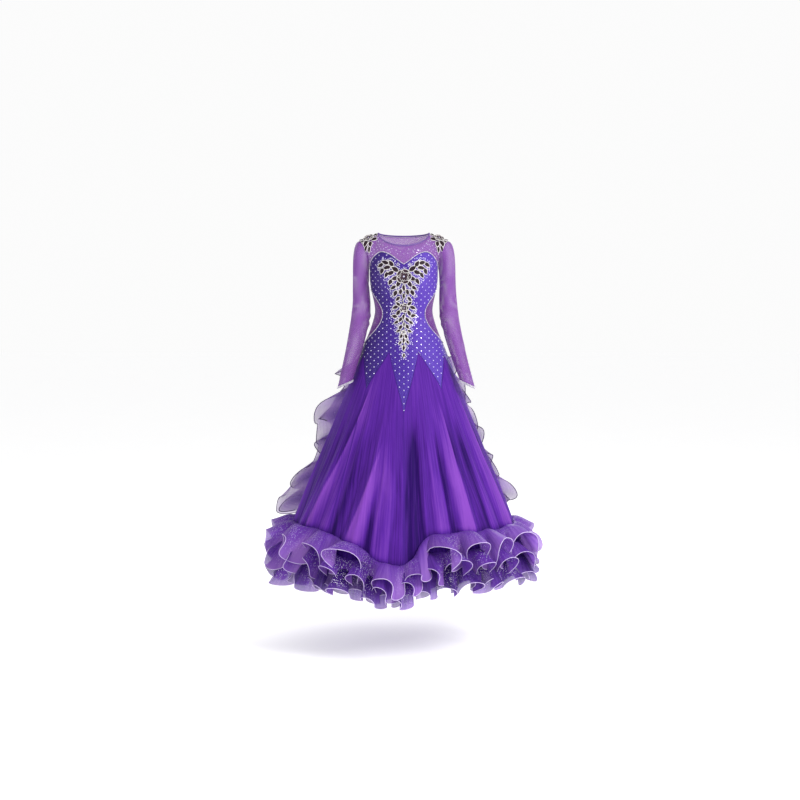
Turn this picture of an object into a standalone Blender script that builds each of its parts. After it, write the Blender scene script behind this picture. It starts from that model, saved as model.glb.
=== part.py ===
"""Ballroom princess dress in its worn form.

Beaded sweetheart bodice with long gore points, sheer yoke and long sleeves, mesh waist inserts,
eight flared organza skirt panels, four cascades and a two-tier ruffled hem.
Metres, +Z up, front towards -Y. The origin lies midway between the neck ends of the shoulder seams.
A turn is in degrees round the body: 0 at the centre front, 90 at +X, 180 at the centre back.
"""

import math

import bmesh
import bpy
from mathutils import Vector

for old in list(bpy.data.objects):
    bpy.data.objects.remove(old, do_unlink=True)

# Walls and gaps
MESH_WALL = 0.0010
BODICE_WALL = 0.0018
ORGANZA_WALL = 0.0012
SEAM_GAP = 0.0003
LAP_GAP = 0.0005
APPLIQUE_GAP = 0.0012
GORE_SEAM_DROP = 0.0006
BAND_GAP = 0.0006

# Round-the-body sampling
BODICE_STEP = 7.5
SKIRT_STEP = 3.75
PANEL_TURN = 45.0
QUARTER_TURN = 90.0
QUARTER_START = -45.0

# Body and skirt sections: height, half width, front depth, back depth
SECTIONS = (
    (-0.050, 0.1120, 0.0760, 0.0840),
    (-0.085, 0.1190, 0.0880, 0.0900),
    (-0.122, 0.1215, 0.0985, 0.0920),
    (-0.162, 0.1210, 0.1040, 0.0900),
    (-0.198, 0.1165, 0.0970, 0.0850),
    (-0.245, 0.1060, 0.0860, 0.0760),
    (-0.277, 0.1030, 0.0830, 0.0730),
    (-0.317, 0.1120, 0.0900, 0.0860),
    (-0.356, 0.1260, 0.1010, 0.1040),
    (-0.400, 0.1450, 0.1150, 0.1260),
    (-0.450, 0.1640, 0.1340, 0.1480),
    (-0.500, 0.1830, 0.1560, 0.1720),
    (-0.623, 0.2300, 0.2110, 0.2250),
    (-0.785, 0.2920, 0.2750, 0.2850),
    (-0.886, 0.3320, 0.3120, 0.3200),
    (-1.037, 0.3880, 0.3640, 0.3730),
    (-1.130, 0.4150, 0.3900, 0.4000),
    (-1.260, 0.4400, 0.4140, 0.4250),
)
SIDE_SPREAD = 4.0

# Bust cups: turn and height of the fullest point, how far it stands out, and its spread
CUP_TURN = 29.0
CUP_HEIGHT = -0.158
CUP_RISE = 0.017
CUP_TURN_SPREAD = 17.0
CUP_HEIGHT_SPREAD = 0.042

# Skirt folds: turn where each starts, turn at the hem, how far it stands out, its half spread
FOLDS = (
    (-39.0, -70.0, 0.022, 7.0),
    (-26.0, -51.0, 0.014, 6.0),
    (-7.0, -33.0, 0.026, 7.0),
    (-4.0, -13.0, 0.016, 6.0),
    (18.0, 22.0, 0.020, 6.0),
    (37.0, 40.0, 0.025, 7.0),
    (50.0, 58.0, 0.015, 6.0),
    (66.0, 75.0, 0.018, 7.0),
    (88.0, 93.0, 0.012, 6.0),
    (101.0, 109.0, 0.020, 7.0),
    (119.0, 126.0, 0.023, 7.0),
    (140.0, 143.0, 0.015, 6.0),
    (157.0, 161.0, 0.025, 7.0),
    (178.0, 179.0, 0.017, 6.0),
    (199.0, 198.0, 0.022, 7.0),
    (215.0, 217.0, 0.015, 6.0),
    (234.0, 235.0, 0.023, 7.0),
    (254.0, 252.0, 0.018, 6.0),
    (275.0, 271.0, 0.012, 6.0),
)
FOLD_START = -0.47
FOLD_FULL = -1.10

# Upper edge of the bodice: turn from the centre front, height
BODICE_TOP = (
    (0.0, -0.110),
    (11.0, -0.096),
    (22.5, -0.080),
    (35.0, -0.069),
    (50.0, -0.066),
    (67.0, -0.083),
    (80.0, -0.104),
    (90.0, -0.122),
    (112.0, -0.119),
    (135.0, -0.124),
    (157.0, -0.141),
    (180.0, -0.155),
)
UNDERARM_HEIGHT = -0.122

# Zigzag seam from the front round to the back: gore point, godet top, gore point and so on
GORE_HEIGHTS = (-0.628, -0.416, -0.548, -0.430, -0.560, -0.425, -0.550, -0.420, -0.600)
HALF_GODET = 22.5
POINT_SLIMNESS = 0.78

BODICE_ROWS = 15
LEVEL_ROW = 12
LEVEL_HEIGHT = -0.395
INSERT_FIRST_ROW = 3
INSERT_LAST_ROW = 12
INSERT_FRONT_TURN = 41.0
INSERT_BACK_TURN = 30.0
INSERT_COLUMNS = 6
INSERT_TIP_SHARE = 0.3
INSERT_TIP_GAP = 0.0012

SKIRT_ROWS = 5
UPPER_RUFFLE_HEIGHT = -1.035
SKIRT_HEM = -1.130

# Yoke, neck and armholes
YOKE_ROWS = 6
NECK_SHARE = 2.0 / 3.0
NECK_HALF_WIDTH = 0.0945
NECK_SIDE_Y = -0.004
NECK_FRONT_DEPTH = 0.067
NECK_BACK_DEPTH = 0.060
NECK_FRONT_DROP = 0.047
NECK_BACK_DROP = 0.010
NECK_CURVE = 1.2
SHOULDER_TIP = Vector((0.1580, 0.0, -0.0260))
SHOULDER_SAG = 0.002
ARMHOLE_START = 0.70
ARMHOLE_PULL = Vector((-0.004, 0.085, 0.130))
SHOULDER_SIDE_PULL = Vector((0.0, 0.085, 0.045))
SHOULDER_TIP_PULL = Vector((0.030, 0.120, 0.005))
NECK_FRONT_PULL = Vector((0.0, 0.028, 0.055))
NECK_BACK_PULL = Vector((0.0, -0.022, 0.110))
NECK_SIDE_RISE = 0.5
BINDING_HALF_WIDTH = 0.0030
BINDING_HALF_THICKNESS = 0.0014

# Sleeves: height, axis distance from the centre on the -X side and on the +X side,
# axis depth, half width, half depth
SLEEVE_RINGS = (
    (-0.150, 0.1530, 0.1560, 0.000, 0.0290, 0.0370),
    (-0.198, 0.1525, 0.1570, 0.002, 0.0300, 0.0365),
    (-0.245, 0.1510, 0.1590, 0.004, 0.0320, 0.0360),
    (-0.300, 0.1550, 0.1640, 0.002, 0.0340, 0.0360),
    (-0.350, 0.1640, 0.1740, -0.012, 0.0325, 0.0345),
    (-0.407, 0.1760, 0.1880, -0.036, 0.0295, 0.0315),
    (-0.460, 0.1890, 0.2030, -0.062, 0.0265, 0.0290),
    (-0.515, 0.2030, 0.2200, -0.086, 0.0235, 0.0265),
)
ARMHOLE_GAP = 0.0006
UNDERARM_GAP = 0.0008
SLEEVE_CAP_ROWS = 4
CAP_OUTWARD_PULL = 0.075
CAP_UNDERARM_PULL = 0.006
CUFF_SLANT = 0.026
CUFF_LEAN = 0.007
CUFF_BAND_HALF_WIDTH = 0.0035
CUFF_BAND_HALF_THICKNESS = 0.0016

# Ruffles: waves round the hem, drop, base flare, wave sizes
UPPER_RUFFLE = {"waves": 24, "step": 1.875, "drop": 0.082, "flare": 0.044,
                "wave_out": 0.028, "wave_lift": 0.030, "lag": 0.0}
LOWER_RUFFLE = {"waves": 20, "step": 3.75, "drop": 0.088, "flare": 0.004,
                "wave_out": 0.024, "wave_lift": 0.012, "lag": 2.1}
RUFFLE_ROWS = 2
WAVE_UNEVENNESS = 0.28
WAVE_DRIFT = 0.7

# Cascades: height, how far the free edge stands out, its sway round the body
SIDE_CASCADE_RIGHT = (
    (-0.440, 0.018, 0.000),
    (-0.480, 0.080, 0.018),
    (-0.535, 0.035, -0.022),
    (-0.600, 0.110, 0.020),
    (-0.665, 0.126, -0.018),
    (-0.720, 0.055, 0.026),
    (-0.775, 0.085, -0.022),
    (-0.830, 0.058, 0.022),
    (-0.890, 0.146, -0.022),
    (-0.940, 0.085, 0.026),
    (-0.985, 0.146, -0.020),
    (-1.015, 0.110, 0.010),
)
SIDE_CASCADE_LEFT = (
    (-0.440, 0.015, 0.000),
    (-0.480, 0.042, 0.015),
    (-0.540, 0.025, -0.018),
    (-0.600, 0.052, 0.018),
    (-0.665, 0.030, -0.018),
    (-0.735, 0.048, 0.022),
    (-0.800, 0.035, -0.020),
    (-0.860, 0.050, 0.022),
    (-0.925, 0.082, -0.022),
    (-0.970, 0.050, 0.024),
    (-1.015, 0.072, -0.010),
)
BACK_CASCADE = (
    (-0.440, 0.018, 0.000),
    (-0.490, 0.060, 0.018),
    (-0.550, 0.032, -0.022),
    (-0.610, 0.085, 0.022),
    (-0.680, 0.048, -0.024),
    (-0.745, 0.095, 0.024),
    (-0.805, 0.055, -0.024),
    (-0.870, 0.110, 0.024),
    (-0.930, 0.065, -0.024),
    (-0.980, 0.110, 0.022),
    (-1.015, 0.080, -0.010),
)
SIDE_CASCADE_TURN = 112.5
BACK_CASCADE_TURN = 157.5
CASCADE_ROWS = 30
CASCADE_COLUMNS = 2
CASCADE_ROOT_GAP = 0.0007

# Front applique: bodice row, half width in bodice columns, clearance where it spans the cups
FRONT_APPLIQUE = (
    (0.5, 5.4, 0.0034),
    (2.0, 5.0, 0.0038),
    (3.0, 4.2, 0.0038),
    (4.0, 3.4, 0.0037),
    (5.0, 2.8, 0.0031),
    (6.0, 2.3, 0.0019),
    (7.0, 2.0, 0.0008),
    (8.0, 1.7, 0.0008),
    (9.0, 1.35, 0.0008),
    (10.0, 1.0, 0.0008),
    (11.0, 0.70, 0.0008),
    (12.5, 0.20, 0.0008),
)
APPLIQUE_ROW_STEP = 0.5
APPLIQUE_COLUMNS = 10
APPLIQUE_BASE = 0.0016
LEAF_RISE = 0.0022
ROSE_RISE = 0.0050
ROSE_ROW = 2.0
ROSE_SPREAD = 1.3
LEAVES_PER_ROW = 0.6
SHOULDER_PETAL_RISE = 0.0060
SHOULDER_PETALS = 5
SHOULDER_APPLIQUE_SPAN = (0.855, 0.985)
SHOULDER_APPLIQUE_COLUMNS = 6


def hermite(start, end, start_pull, end_pull, share):
    """Value or point on the cubic curve that leaves start along start_pull and reaches end."""
    square = share * share
    cube = square * share
    return (start * (2 * cube - 3 * square + 1) + end * (3 * square - 2 * cube)
            + start_pull * (cube - 2 * square + share) + end_pull * (cube - square))


def ease(share):
    """0 to 1, with level ends."""
    share = min(max(share, 0.0), 1.0)
    return share * share * (3 - 2 * share)


def read_table(table, key):
    """Other columns of a table at the key, on a smooth curve through its rows."""
    rows = sorted(table)
    last = len(rows) - 1
    if key <= rows[0][0]:
        return rows[0][1:]
    if key >= rows[last][0]:
        return rows[last][1:]
    place = next(k for k in range(last) if rows[k + 1][0] >= key)
    low, high = rows[place], rows[place + 1]
    before, after = rows[max(place - 1, 0)], rows[min(place + 2, last)]
    span = high[0] - low[0]
    share = (key - low[0]) / span
    values = []
    for column in range(1, len(low)):
        low_slope = (high[column] - before[column]) / (high[0] - before[0])
        high_slope = (after[column] - low[column]) / (after[0] - low[0])
        values.append(hermite(low[column], high[column], low_slope * span, high_slope * span, share))
    return values


def fold_height(turn, z):
    """How far the skirt's folds stand out at a turn and height."""
    fullness = (FOLD_START - z) / (FOLD_START - FOLD_FULL)
    if fullness <= 0:
        return 0.0
    grown = ease(fullness)
    total = 0.0
    for start_turn, hem_turn, rise, spread in FOLDS:
        centre = start_turn + (hem_turn - start_turn) * min(fullness, 1.0)
        away = (turn - centre + 180.0) % 360.0 - 180.0
        total += rise * grown * math.exp(-(away / spread) ** 2)
    return total


def cup_height(turn, z):
    """How far the bust cups stand out at a turn and height."""
    away = (abs(turn) - CUP_TURN) / CUP_TURN_SPREAD
    above = (z - CUP_HEIGHT) / CUP_HEIGHT_SPREAD
    return CUP_RISE * math.exp(-away * away - above * above)


def body_point(turn, z, out=0.0):
    """Point of the fitted body and flared skirt, moved out level by a distance."""
    half_width, front, back = read_table(SECTIONS, z)
    wrapped = (turn + 180.0) % 360.0 - 180.0
    angle = math.radians(wrapped - SIDE_SPREAD * math.sin(math.radians(2 * wrapped)))
    depth = front if math.cos(angle) > 0 else back
    level = Vector((half_width * math.sin(angle), -depth * math.cos(angle), 0.0))
    reach = level.length + cup_height(wrapped, z) + fold_height(wrapped, z) + out
    point = level.normalized() * reach
    return Vector((point.x, point.y, z))


def body_normal(turn, z):
    """Outward direction of the body surface."""
    across = body_point(turn + 0.2, z) - body_point(turn - 0.2, z)
    down = body_point(turn, z - 0.002) - body_point(turn, z + 0.002)
    return down.cross(across).normalized()


def bodice_top(turn):
    """Height of the bodice's upper edge."""
    return read_table(BODICE_TOP, abs((turn + 180.0) % 360.0 - 180.0))[0]


def gore_curve(turn):
    """Height of the zigzag seam's own curve between the bodice points and the skirt."""
    from_front = abs((turn + 180.0) % 360.0 - 180.0)
    place = min(int(from_front // HALF_GODET), len(GORE_HEIGHTS) - 2)
    share = from_front / HALF_GODET - place
    near, far = GORE_HEIGHTS[place], GORE_HEIGHTS[place + 1]
    if place % 2 == 0:
        return near + (far - near) * share ** POINT_SLIMNESS
    return far + (near - far) * (1.0 - share) ** POINT_SLIMNESS


def stepped(curve, turn):
    """A curve's height, straight between neighbouring bodice columns."""
    low = math.floor(turn / BODICE_STEP) * BODICE_STEP
    share = (turn - low) / BODICE_STEP
    return curve(low) * (1.0 - share) + curve(low + BODICE_STEP) * share


def gore_edge(turn):
    """Height of the zigzag seam between the bodice and skirt grids."""
    return stepped(gore_curve, turn)


def turn_of(distance, z):
    """Turn that a short distance round the body spans at a height."""
    return math.degrees(distance / read_table(SECTIONS, z)[0])


def grid_normals(rows, closed=False, flip=False):
    """Directions square to a grid of points whose rows run down and columns run round."""
    last_row = len(rows) - 1
    count = len(rows[0])
    normals = []
    for r in range(last_row + 1):
        line = []
        for c in range(count):
            down = rows[min(r + 1, last_row)][c] - rows[max(r - 1, 0)][c]
            if closed:
                across = rows[r][(c + 1) % count] - rows[r][(c - 1) % count]
            else:
                across = rows[r][min(c + 1, count - 1)] - rows[r][max(c - 1, 0)]
            direction = down.cross(across).normalized()
            line.append(-direction if flip else direction)
        normals.append(line)
    return normals


def finish(name, colour, roughness, metallic=0.0):
    """Plain Principled material."""
    material = bpy.data.materials.new(name)
    material.use_nodes = True
    shader = material.node_tree.nodes["Principled BSDF"]
    shader.inputs["Base Color"].default_value = (*colour, 1.0)
    shader.inputs["Roughness"].default_value = roughness
    shader.inputs["Metallic"].default_value = metallic
    material.diffuse_color = (*colour, 1.0)
    return material


def add_quad(bm, corners):
    """Two triangles that share the first corner's diagonal."""
    a, b, c, d = corners
    bm.faces.new((a, b, c))
    bm.faces.new((a, c, d))


def add_object(name, bm, material):
    """Object of its own from a closed mesh whose faces wind one way, shaded smooth."""
    if bm.calc_volume(signed=True) < 0:
        bmesh.ops.reverse_faces(bm, faces=bm.faces)
    mesh = bpy.data.meshes.new(name)
    bm.to_mesh(mesh)
    bm.free()
    mesh.materials.append(material)
    mesh.shade_smooth()
    mesh.set_sharp_from_angle(angle=math.radians(50))
    piece = bpy.data.objects.new(name, mesh)
    bpy.context.scene.collection.objects.link(piece)
    return piece


def wall(name, rows, normals, thicknesses, material, closed=False):
    """Closed wall between a grid of outer points and the same points moved in by a thickness."""
    if isinstance(thicknesses, float):
        thicknesses = [[thicknesses] * len(row) for row in rows]
    bm = bmesh.new()
    outer = [[bm.verts.new(point) for point in row] for row in rows]
    inner = []
    for row, directions, depths in zip(rows, normals, thicknesses):
        inner.append([bm.verts.new(p - n * t) for p, n, t in zip(row, directions, depths)])
    count = len(rows[0])
    spans = count if closed else count - 1
    for r in range(len(rows) - 1):
        for c in range(spans):
            d = (c + 1) % count
            add_quad(bm, (outer[r][c], outer[r + 1][c], outer[r + 1][d], outer[r][d]))
            add_quad(bm, (inner[r][c], inner[r][d], inner[r + 1][d], inner[r + 1][c]))
    for c in range(spans):
        d = (c + 1) % count
        add_quad(bm, (outer[0][c], outer[0][d], inner[0][d], inner[0][c]))
        add_quad(bm, (outer[-1][d], outer[-1][c], inner[-1][c], inner[-1][d]))
    if not closed:
        for r in range(len(rows) - 1):
            add_quad(bm, (outer[r + 1][0], outer[r][0], inner[r][0], inner[r + 1][0]))
            add_quad(bm, (outer[r][-1], outer[r + 1][-1], inner[r + 1][-1], inner[r][-1]))
    return add_object(name, bm, material)


def band(name, edge, leans, half_width, half_thickness, material):
    """Closed flat band of six-sided section that carries on from an edge loop along its leans."""
    bm = bmesh.new()
    rings = []
    for i, (point, lean) in enumerate(zip(edge, leans)):
        tangent = (edge[(i + 1) % len(edge)] - edge[i - 1]).normalized()
        wide = (lean - tangent * lean.dot(tangent)).normalized()
        thin = tangent.cross(wide)
        centre = point + wide * (BAND_GAP + half_width)
        corners = []
        for k in range(6):
            angle = math.radians(60 * k)
            offset = wide * half_width * math.cos(angle) + thin * half_thickness * math.sin(angle)
            corners.append(bm.verts.new(centre + offset))
        rings.append(corners)
    for i, ring in enumerate(rings):
        following = rings[(i + 1) % len(rings)]
        for k in range(6):
            m = (k + 1) % 6
            add_quad(bm, (ring[k], ring[m], following[m], following[k]))
    return add_object(name, bm, material)


def between(grid, row, column):
    """Point or direction of a grid at a fractional row and column."""
    r = min(max(int(row), 0), len(grid) - 2)
    c = min(max(int(column), 0), len(grid[0]) - 2)
    down, round_ = row - r, column - c
    upper = grid[r][c].lerp(grid[r][c + 1], round_)
    lower = grid[r + 1][c].lerp(grid[r + 1][c + 1], round_)
    return upper.lerp(lower, down)


MESH_KNIT = finish("sheer_stretch_mesh", (0.42, 0.18, 0.58), 0.6)
BODICE_SATIN = finish("beaded_stretch_satin", (0.11, 0.06, 0.50), 0.4)
SKIRT_ORGANZA = finish("violet_organza", (0.10, 0.015, 0.36), 0.45)
RUFFLE_ORGANZA = finish("lilac_ruffle_organza", (0.24, 0.09, 0.52), 0.4)
CASCADE_ORGANZA = finish("grey_lilac_organza", (0.52, 0.42, 0.60), 0.4)
BINDING_SATIN = finish("dark_violet_binding", (0.08, 0.03, 0.22), 0.5)
SILVER_TRIM = finish("silver_bead_trim", (0.75, 0.72, 0.76), 0.3, 0.6)
DARK_APPLIQUE = finish("dark_embroidered_applique", (0.05, 0.01, 0.04), 0.5)


def lens_share(row):
    """Opening of the waist insert at a bodice row, 0 at its tips and 1 at its middle."""
    length = INSERT_LAST_ROW - INSERT_FIRST_ROW
    share = (row - INSERT_FIRST_ROW) / length
    return math.sin(math.pi * share) if 0 < share < 1 else 0.0


def side_edge(row, towards_front):
    """Turn of a bodice panel's side edge at a row, left by the waist insert."""
    if towards_front:
        return 90.0 - INSERT_FRONT_TURN * lens_share(row)
    return 90.0 + INSERT_BACK_TURN * lens_share(row)


def bodice_height(column_turn, row):
    """Height of the bodice grid at a column's turn and a row."""
    top = bodice_top(column_turn) - SEAM_GAP / 2
    if row <= LEVEL_ROW:
        return top + (LEVEL_HEIGHT - top) * row / LEVEL_ROW
    foot = gore_edge(column_turn) + GORE_SEAM_DROP
    return LEVEL_HEIGHT + (foot - LEVEL_HEIGHT) * (row - LEVEL_ROW) / (BODICE_ROWS - LEVEL_ROW)


def bodice_grid(first_turn, last_turn, place):
    """Points and normals of a bodice panel, where place maps a column's turn and row to a turn."""
    columns = round((last_turn - first_turn) / BODICE_STEP)
    rows, normals = [], []
    for row in range(BODICE_ROWS + 1):
        line, directions = [], []
        for c in range(columns + 1):
            column_turn = first_turn + BODICE_STEP * c
            z = bodice_height(column_turn, row)
            turn = place(column_turn, row)
            if c == 0:
                turn += turn_of(SEAM_GAP / 2, z)
            if c == columns:
                turn -= turn_of(SEAM_GAP / 2, z)
            line.append(body_point(turn, z))
            directions.append(body_normal(turn, z))
        rows.append(line)
        normals.append(directions)
    return rows, normals


def front_place(column_turn, row):
    """Front columns draw in evenly as the side edge does."""
    return column_turn * side_edge(row, True) / 90.0


def back_place(column_turn, row):
    """Back columns draw in towards the centre back as the side edge does."""
    drawn_in = (180.0 - side_edge(row, False)) / 90.0
    return 180.0 + (column_turn - 180.0) * drawn_in


def build_bodice():
    """Bodice front, and the two back panels joined at the centre back seam."""
    front = bodice_grid(-90.0, 90.0, front_place)
    wall("bodice_front", *front, BODICE_WALL, BODICE_SATIN)
    back_left = bodice_grid(90.0, 180.0, back_place)
    wall("bodice_back_left", *back_left, BODICE_WALL, BODICE_SATIN)
    back_right = bodice_grid(180.0, 270.0, back_place)
    wall("bodice_back_right", *back_right, BODICE_WALL, BODICE_SATIN)
    return front


def build_insert(name, side):
    """Lens of mesh at one side of the waist, its edges on the panels' own edges."""
    tip_rows = (INSERT_FIRST_ROW + INSERT_TIP_SHARE, INSERT_LAST_ROW - INSERT_TIP_SHARE)
    row_places = [tip_rows[0], *range(INSERT_FIRST_ROW + 1, INSERT_LAST_ROW), tip_rows[1]]
    rows, normals = [], []
    for row in row_places:
        whole, part = int(row), row - int(row)
        z = bodice_height(90.0, row)
        edges = []
        for towards_front in (True, False):
            near = side_edge(whole, towards_front)
            far = side_edge(min(whole + 1, BODICE_ROWS), towards_front)
            edges.append(near + (far - near) * part)
        gap = turn_of(SEAM_GAP if part == 0 else INSERT_TIP_GAP, z)
        first, last = edges[0] + gap, edges[1] - gap
        line, directions = [], []
        for c in range(INSERT_COLUMNS + 1):
            turn = side * (first + (last - first) * c / INSERT_COLUMNS)
            line.append(body_point(turn, z))
            directions.append(body_normal(turn, z))
        rows.append(line)
        normals.append(directions)
    wall(name, rows, normals, MESH_WALL, MESH_KNIT)


def skirt_heights(turn):
    """Row heights of the skirt grid at a turn."""
    top = gore_edge(turn) - GORE_SEAM_DROP
    heights = [top + (UPPER_RUFFLE_HEIGHT - top) * r / SKIRT_ROWS for r in range(SKIRT_ROWS + 1)]
    return heights + [SKIRT_HEM]


def build_skirt():
    """Eight flared panels, each rising to a godet top between two gore points."""
    columns = round(PANEL_TURN / SKIRT_STEP)
    for panel in range(8):
        first_turn = -90.0 + PANEL_TURN * panel
        rows = [[] for _ in range(SKIRT_ROWS + 2)]
        normals = [[] for _ in range(SKIRT_ROWS + 2)]
        for c in range(columns + 1):
            column_turn = first_turn + SKIRT_STEP * c
            for r, z in enumerate(skirt_heights(column_turn)):
                turn = column_turn
                if c == 0:
                    turn += turn_of(SEAM_GAP * 0.6, z)
                if c == columns:
                    turn -= turn_of(SEAM_GAP * 0.6, z)
                rows[r].append(body_point(turn, z))
                normals[r].append(body_normal(turn, z))
        wall(f"skirt_panel_{panel + 1}", rows, normals, ORGANZA_WALL, SKIRT_ORGANZA)


def skirt_edge_point(turn, z, point_at):
    """Value on the straight stretch between two neighbouring skirt columns."""
    low = math.floor(turn / SKIRT_STEP) * SKIRT_STEP
    return point_at(low, z).lerp(point_at(low + SKIRT_STEP, z), (turn - low) / SKIRT_STEP)


def ruffle_wave(turn, ruffle):
    """Phase and size of the uneven ruffle wave at a turn."""
    round_ = math.radians(turn)
    lag = ruffle["lag"]
    phase = ruffle["waves"] * round_ + lag + WAVE_DRIFT * math.sin(3 * round_ + lag)
    size = 1.0 + WAVE_UNEVENNESS * math.sin(5 * round_ + 1.0 + lag)
    return phase, size


def ruffle_point(turn, share, root_height, ruffle):
    """Point of a ruffle from its sewn root, share 0, to its free edge, share 1."""
    phase, size = ruffle_wave(turn, ruffle)
    waviness = share ** 1.3 * size
    z = root_height - ruffle["drop"] * share + ruffle["wave_lift"] * waviness * math.sin(phase)
    out = ruffle["flare"] * share + ruffle["wave_out"] * waviness * math.cos(phase)
    return body_point(turn, z, out)


def build_ruffle(name, root_height, ruffle, root_out):
    """Four quarters of a ruffle tier, cut from one ring."""
    step = ruffle["step"]
    count = round(360.0 / step)
    rows = [[] for _ in range(RUFFLE_ROWS + 1)]
    roots = []
    for c in range(count):
        turn = QUARTER_START + step * c
        root = skirt_edge_point(turn, root_height, body_point)
        direction = skirt_edge_point(turn, root_height, body_normal).normalized()
        rows[0].append(root + direction * root_out - Vector((0.0, 0.0, SEAM_GAP)))
        roots.append(direction)
        for r in range(1, RUFFLE_ROWS + 1):
            rows[r].append(ruffle_point(turn, r / RUFFLE_ROWS, root_height, ruffle))
    normals = grid_normals(rows, closed=True)
    normals[0] = roots
    columns = round(QUARTER_TURN / step)
    for quarter in range(4):
        places = [(columns * quarter + c) % count for c in range(columns + 1)]
        lines = []
        for row in rows:
            line = [row[place].copy() for place in places]
            for end, following in ((0, 1), (-1, -2)):
                line[end] += (line[following] - line[end]).normalized() * SEAM_GAP
            lines.append(line)
        directions = [[row[place] for place in places] for row in normals]
        wall(f"{name}_{quarter + 1}", lines, directions, ORGANZA_WALL, RUFFLE_ORGANZA)


def skirt_column_point(turn, z, point_at):
    """Value on the straight stretch between two neighbouring skirt rows of one column."""
    heights = skirt_heights(turn)
    place = next(r for r in range(len(heights) - 1) if heights[r + 1] <= z)
    share = (heights[place] - z) / (heights[place] - heights[place + 1])
    return point_at(turn, heights[place]).lerp(point_at(turn, heights[place + 1]), share)


def build_cascade(name, turn, table):
    """Waving strip that stands out from one skirt column, sewn along its inner edge."""
    top, foot = table[0][0], table[-1][0]
    rows = []
    for r in range(CASCADE_ROWS + 1):
        z = top + (foot - top) * r / CASCADE_ROWS
        reach, sway = read_table(table, z)
        root = skirt_column_point(turn, z, body_point)
        out = skirt_column_point(turn, z, body_normal).normalized()
        level = Vector((out.x, out.y, 0.0)).normalized()
        round_ = Vector((-level.y, level.x, 0.0))
        line = []
        for c in range(CASCADE_COLUMNS + 1):
            share = c / CASCADE_COLUMNS
            shift = round_ * (sway * share ** 1.3 + ORGANZA_WALL / 2)
            line.append(root + out * CASCADE_ROOT_GAP + level * reach * share + shift)
        rows.append(line)
    normals = grid_normals(rows)
    towards = Vector((-rows[0][0].y, rows[0][0].x, 0.0))
    if normals[0][0].dot(towards) < 0:
        normals = grid_normals(rows, flip=True)
    wall(name, rows, normals, ORGANZA_WALL, CASCADE_ORGANZA)


def neck_point(share, facing):
    """Point of the neck edge and the yoke's direction there, share -1 to 1 from side to side."""
    angle = math.radians(90.0 * share)
    level = max(math.cos(angle), 0.0)
    depth = NECK_FRONT_DEPTH if facing < 0 else NECK_BACK_DEPTH
    drop = NECK_FRONT_DROP if facing < 0 else NECK_BACK_DROP
    pull = NECK_FRONT_PULL if facing < 0 else NECK_BACK_PULL
    point = Vector((NECK_HALF_WIDTH * math.sin(angle), NECK_SIDE_Y + facing * depth * level,
                    -drop * level ** NECK_CURVE))
    side_pull = Vector((0.0, -facing * SHOULDER_SIDE_PULL.y, SHOULDER_SIDE_PULL.z))
    return point, pull.lerp(side_pull, math.sin(angle) ** 2)


def yoke_top(share, facing):
    """Point and direction of the yoke's upper boundary: neck edge, then shoulder seam."""
    if abs(share) <= NECK_SHARE:
        return neck_point(share / NECK_SHARE, facing)
    along = (abs(share) - NECK_SHARE) / (1.0 - NECK_SHARE)
    neck_end, _ = neck_point(1.0, facing)
    point = neck_end.lerp(SHOULDER_TIP, along)
    point.z -= SHOULDER_SAG * math.sin(math.pi * along)
    pull = SHOULDER_SIDE_PULL.lerp(SHOULDER_TIP_PULL, along)
    pull.y *= -facing
    if share < 0:
        point.x, pull.x = -point.x, -pull.x
    return point, pull


def yoke_grid(facing):
    """Points and normals of the front (-1) or back (+1) yoke, rows from the shoulder down."""
    columns = round(180.0 / BODICE_STEP)
    rows = [[] for _ in range(YOKE_ROWS + 1)]
    for c in range(columns + 1):
        share = -1.0 + 2.0 * c / columns
        turn = 90.0 * share if facing < 0 else 180.0 - 90.0 * share
        if c in (0, columns):
            turn += math.copysign(turn_of(UNDERARM_GAP, UNDERARM_HEIGHT), share * facing)
        z = stepped(bodice_top, turn) + SEAM_GAP / 2
        start = body_point(turn, z)
        end, end_pull = yoke_top(share, facing)
        end = end - end_pull.normalized() * (SEAM_GAP / 2)
        up = (body_point(turn, z + 0.002) - start) / 0.002 * (end - start).length
        armhole_pull = Vector((math.copysign(ARMHOLE_PULL.x, -share), facing * ARMHOLE_PULL.y,
                               ARMHOLE_PULL.z))
        up = up.lerp(armhole_pull, ease((abs(share) - ARMHOLE_START) / (1.0 - ARMHOLE_START)))
        for r in range(YOKE_ROWS + 1):
            rows[r].append(hermite(start, end, up, end_pull, 1.0 - r / YOKE_ROWS))
    normals = grid_normals(rows, flip=facing > 0)
    for c in range(columns + 1):
        share = -1.0 + 2.0 * c / columns
        turn = 90.0 * share if facing < 0 else 180.0 - 90.0 * share
        normals[-1][c] = body_normal(turn, bodice_top(turn))
    return rows, normals


def build_yoke():
    """Sheer front and back yoke, which meet at the shoulder seams."""
    front, back = yoke_grid(-1.0), yoke_grid(1.0)
    columns = len(front[0][0])
    for c in range(columns):
        share = abs(-1.0 + 2.0 * c / (columns - 1))
        if share >= NECK_SHARE:
            shared = (front[1][0][c] + back[1][0][c]).normalized()
            front[1][0][c] = shared
            back[1][0][c] = shared
    wall("yoke_front", *front, MESH_WALL, MESH_KNIT)
    wall("yoke_back", *back, MESH_WALL, MESH_KNIT)
    return front, back


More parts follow.
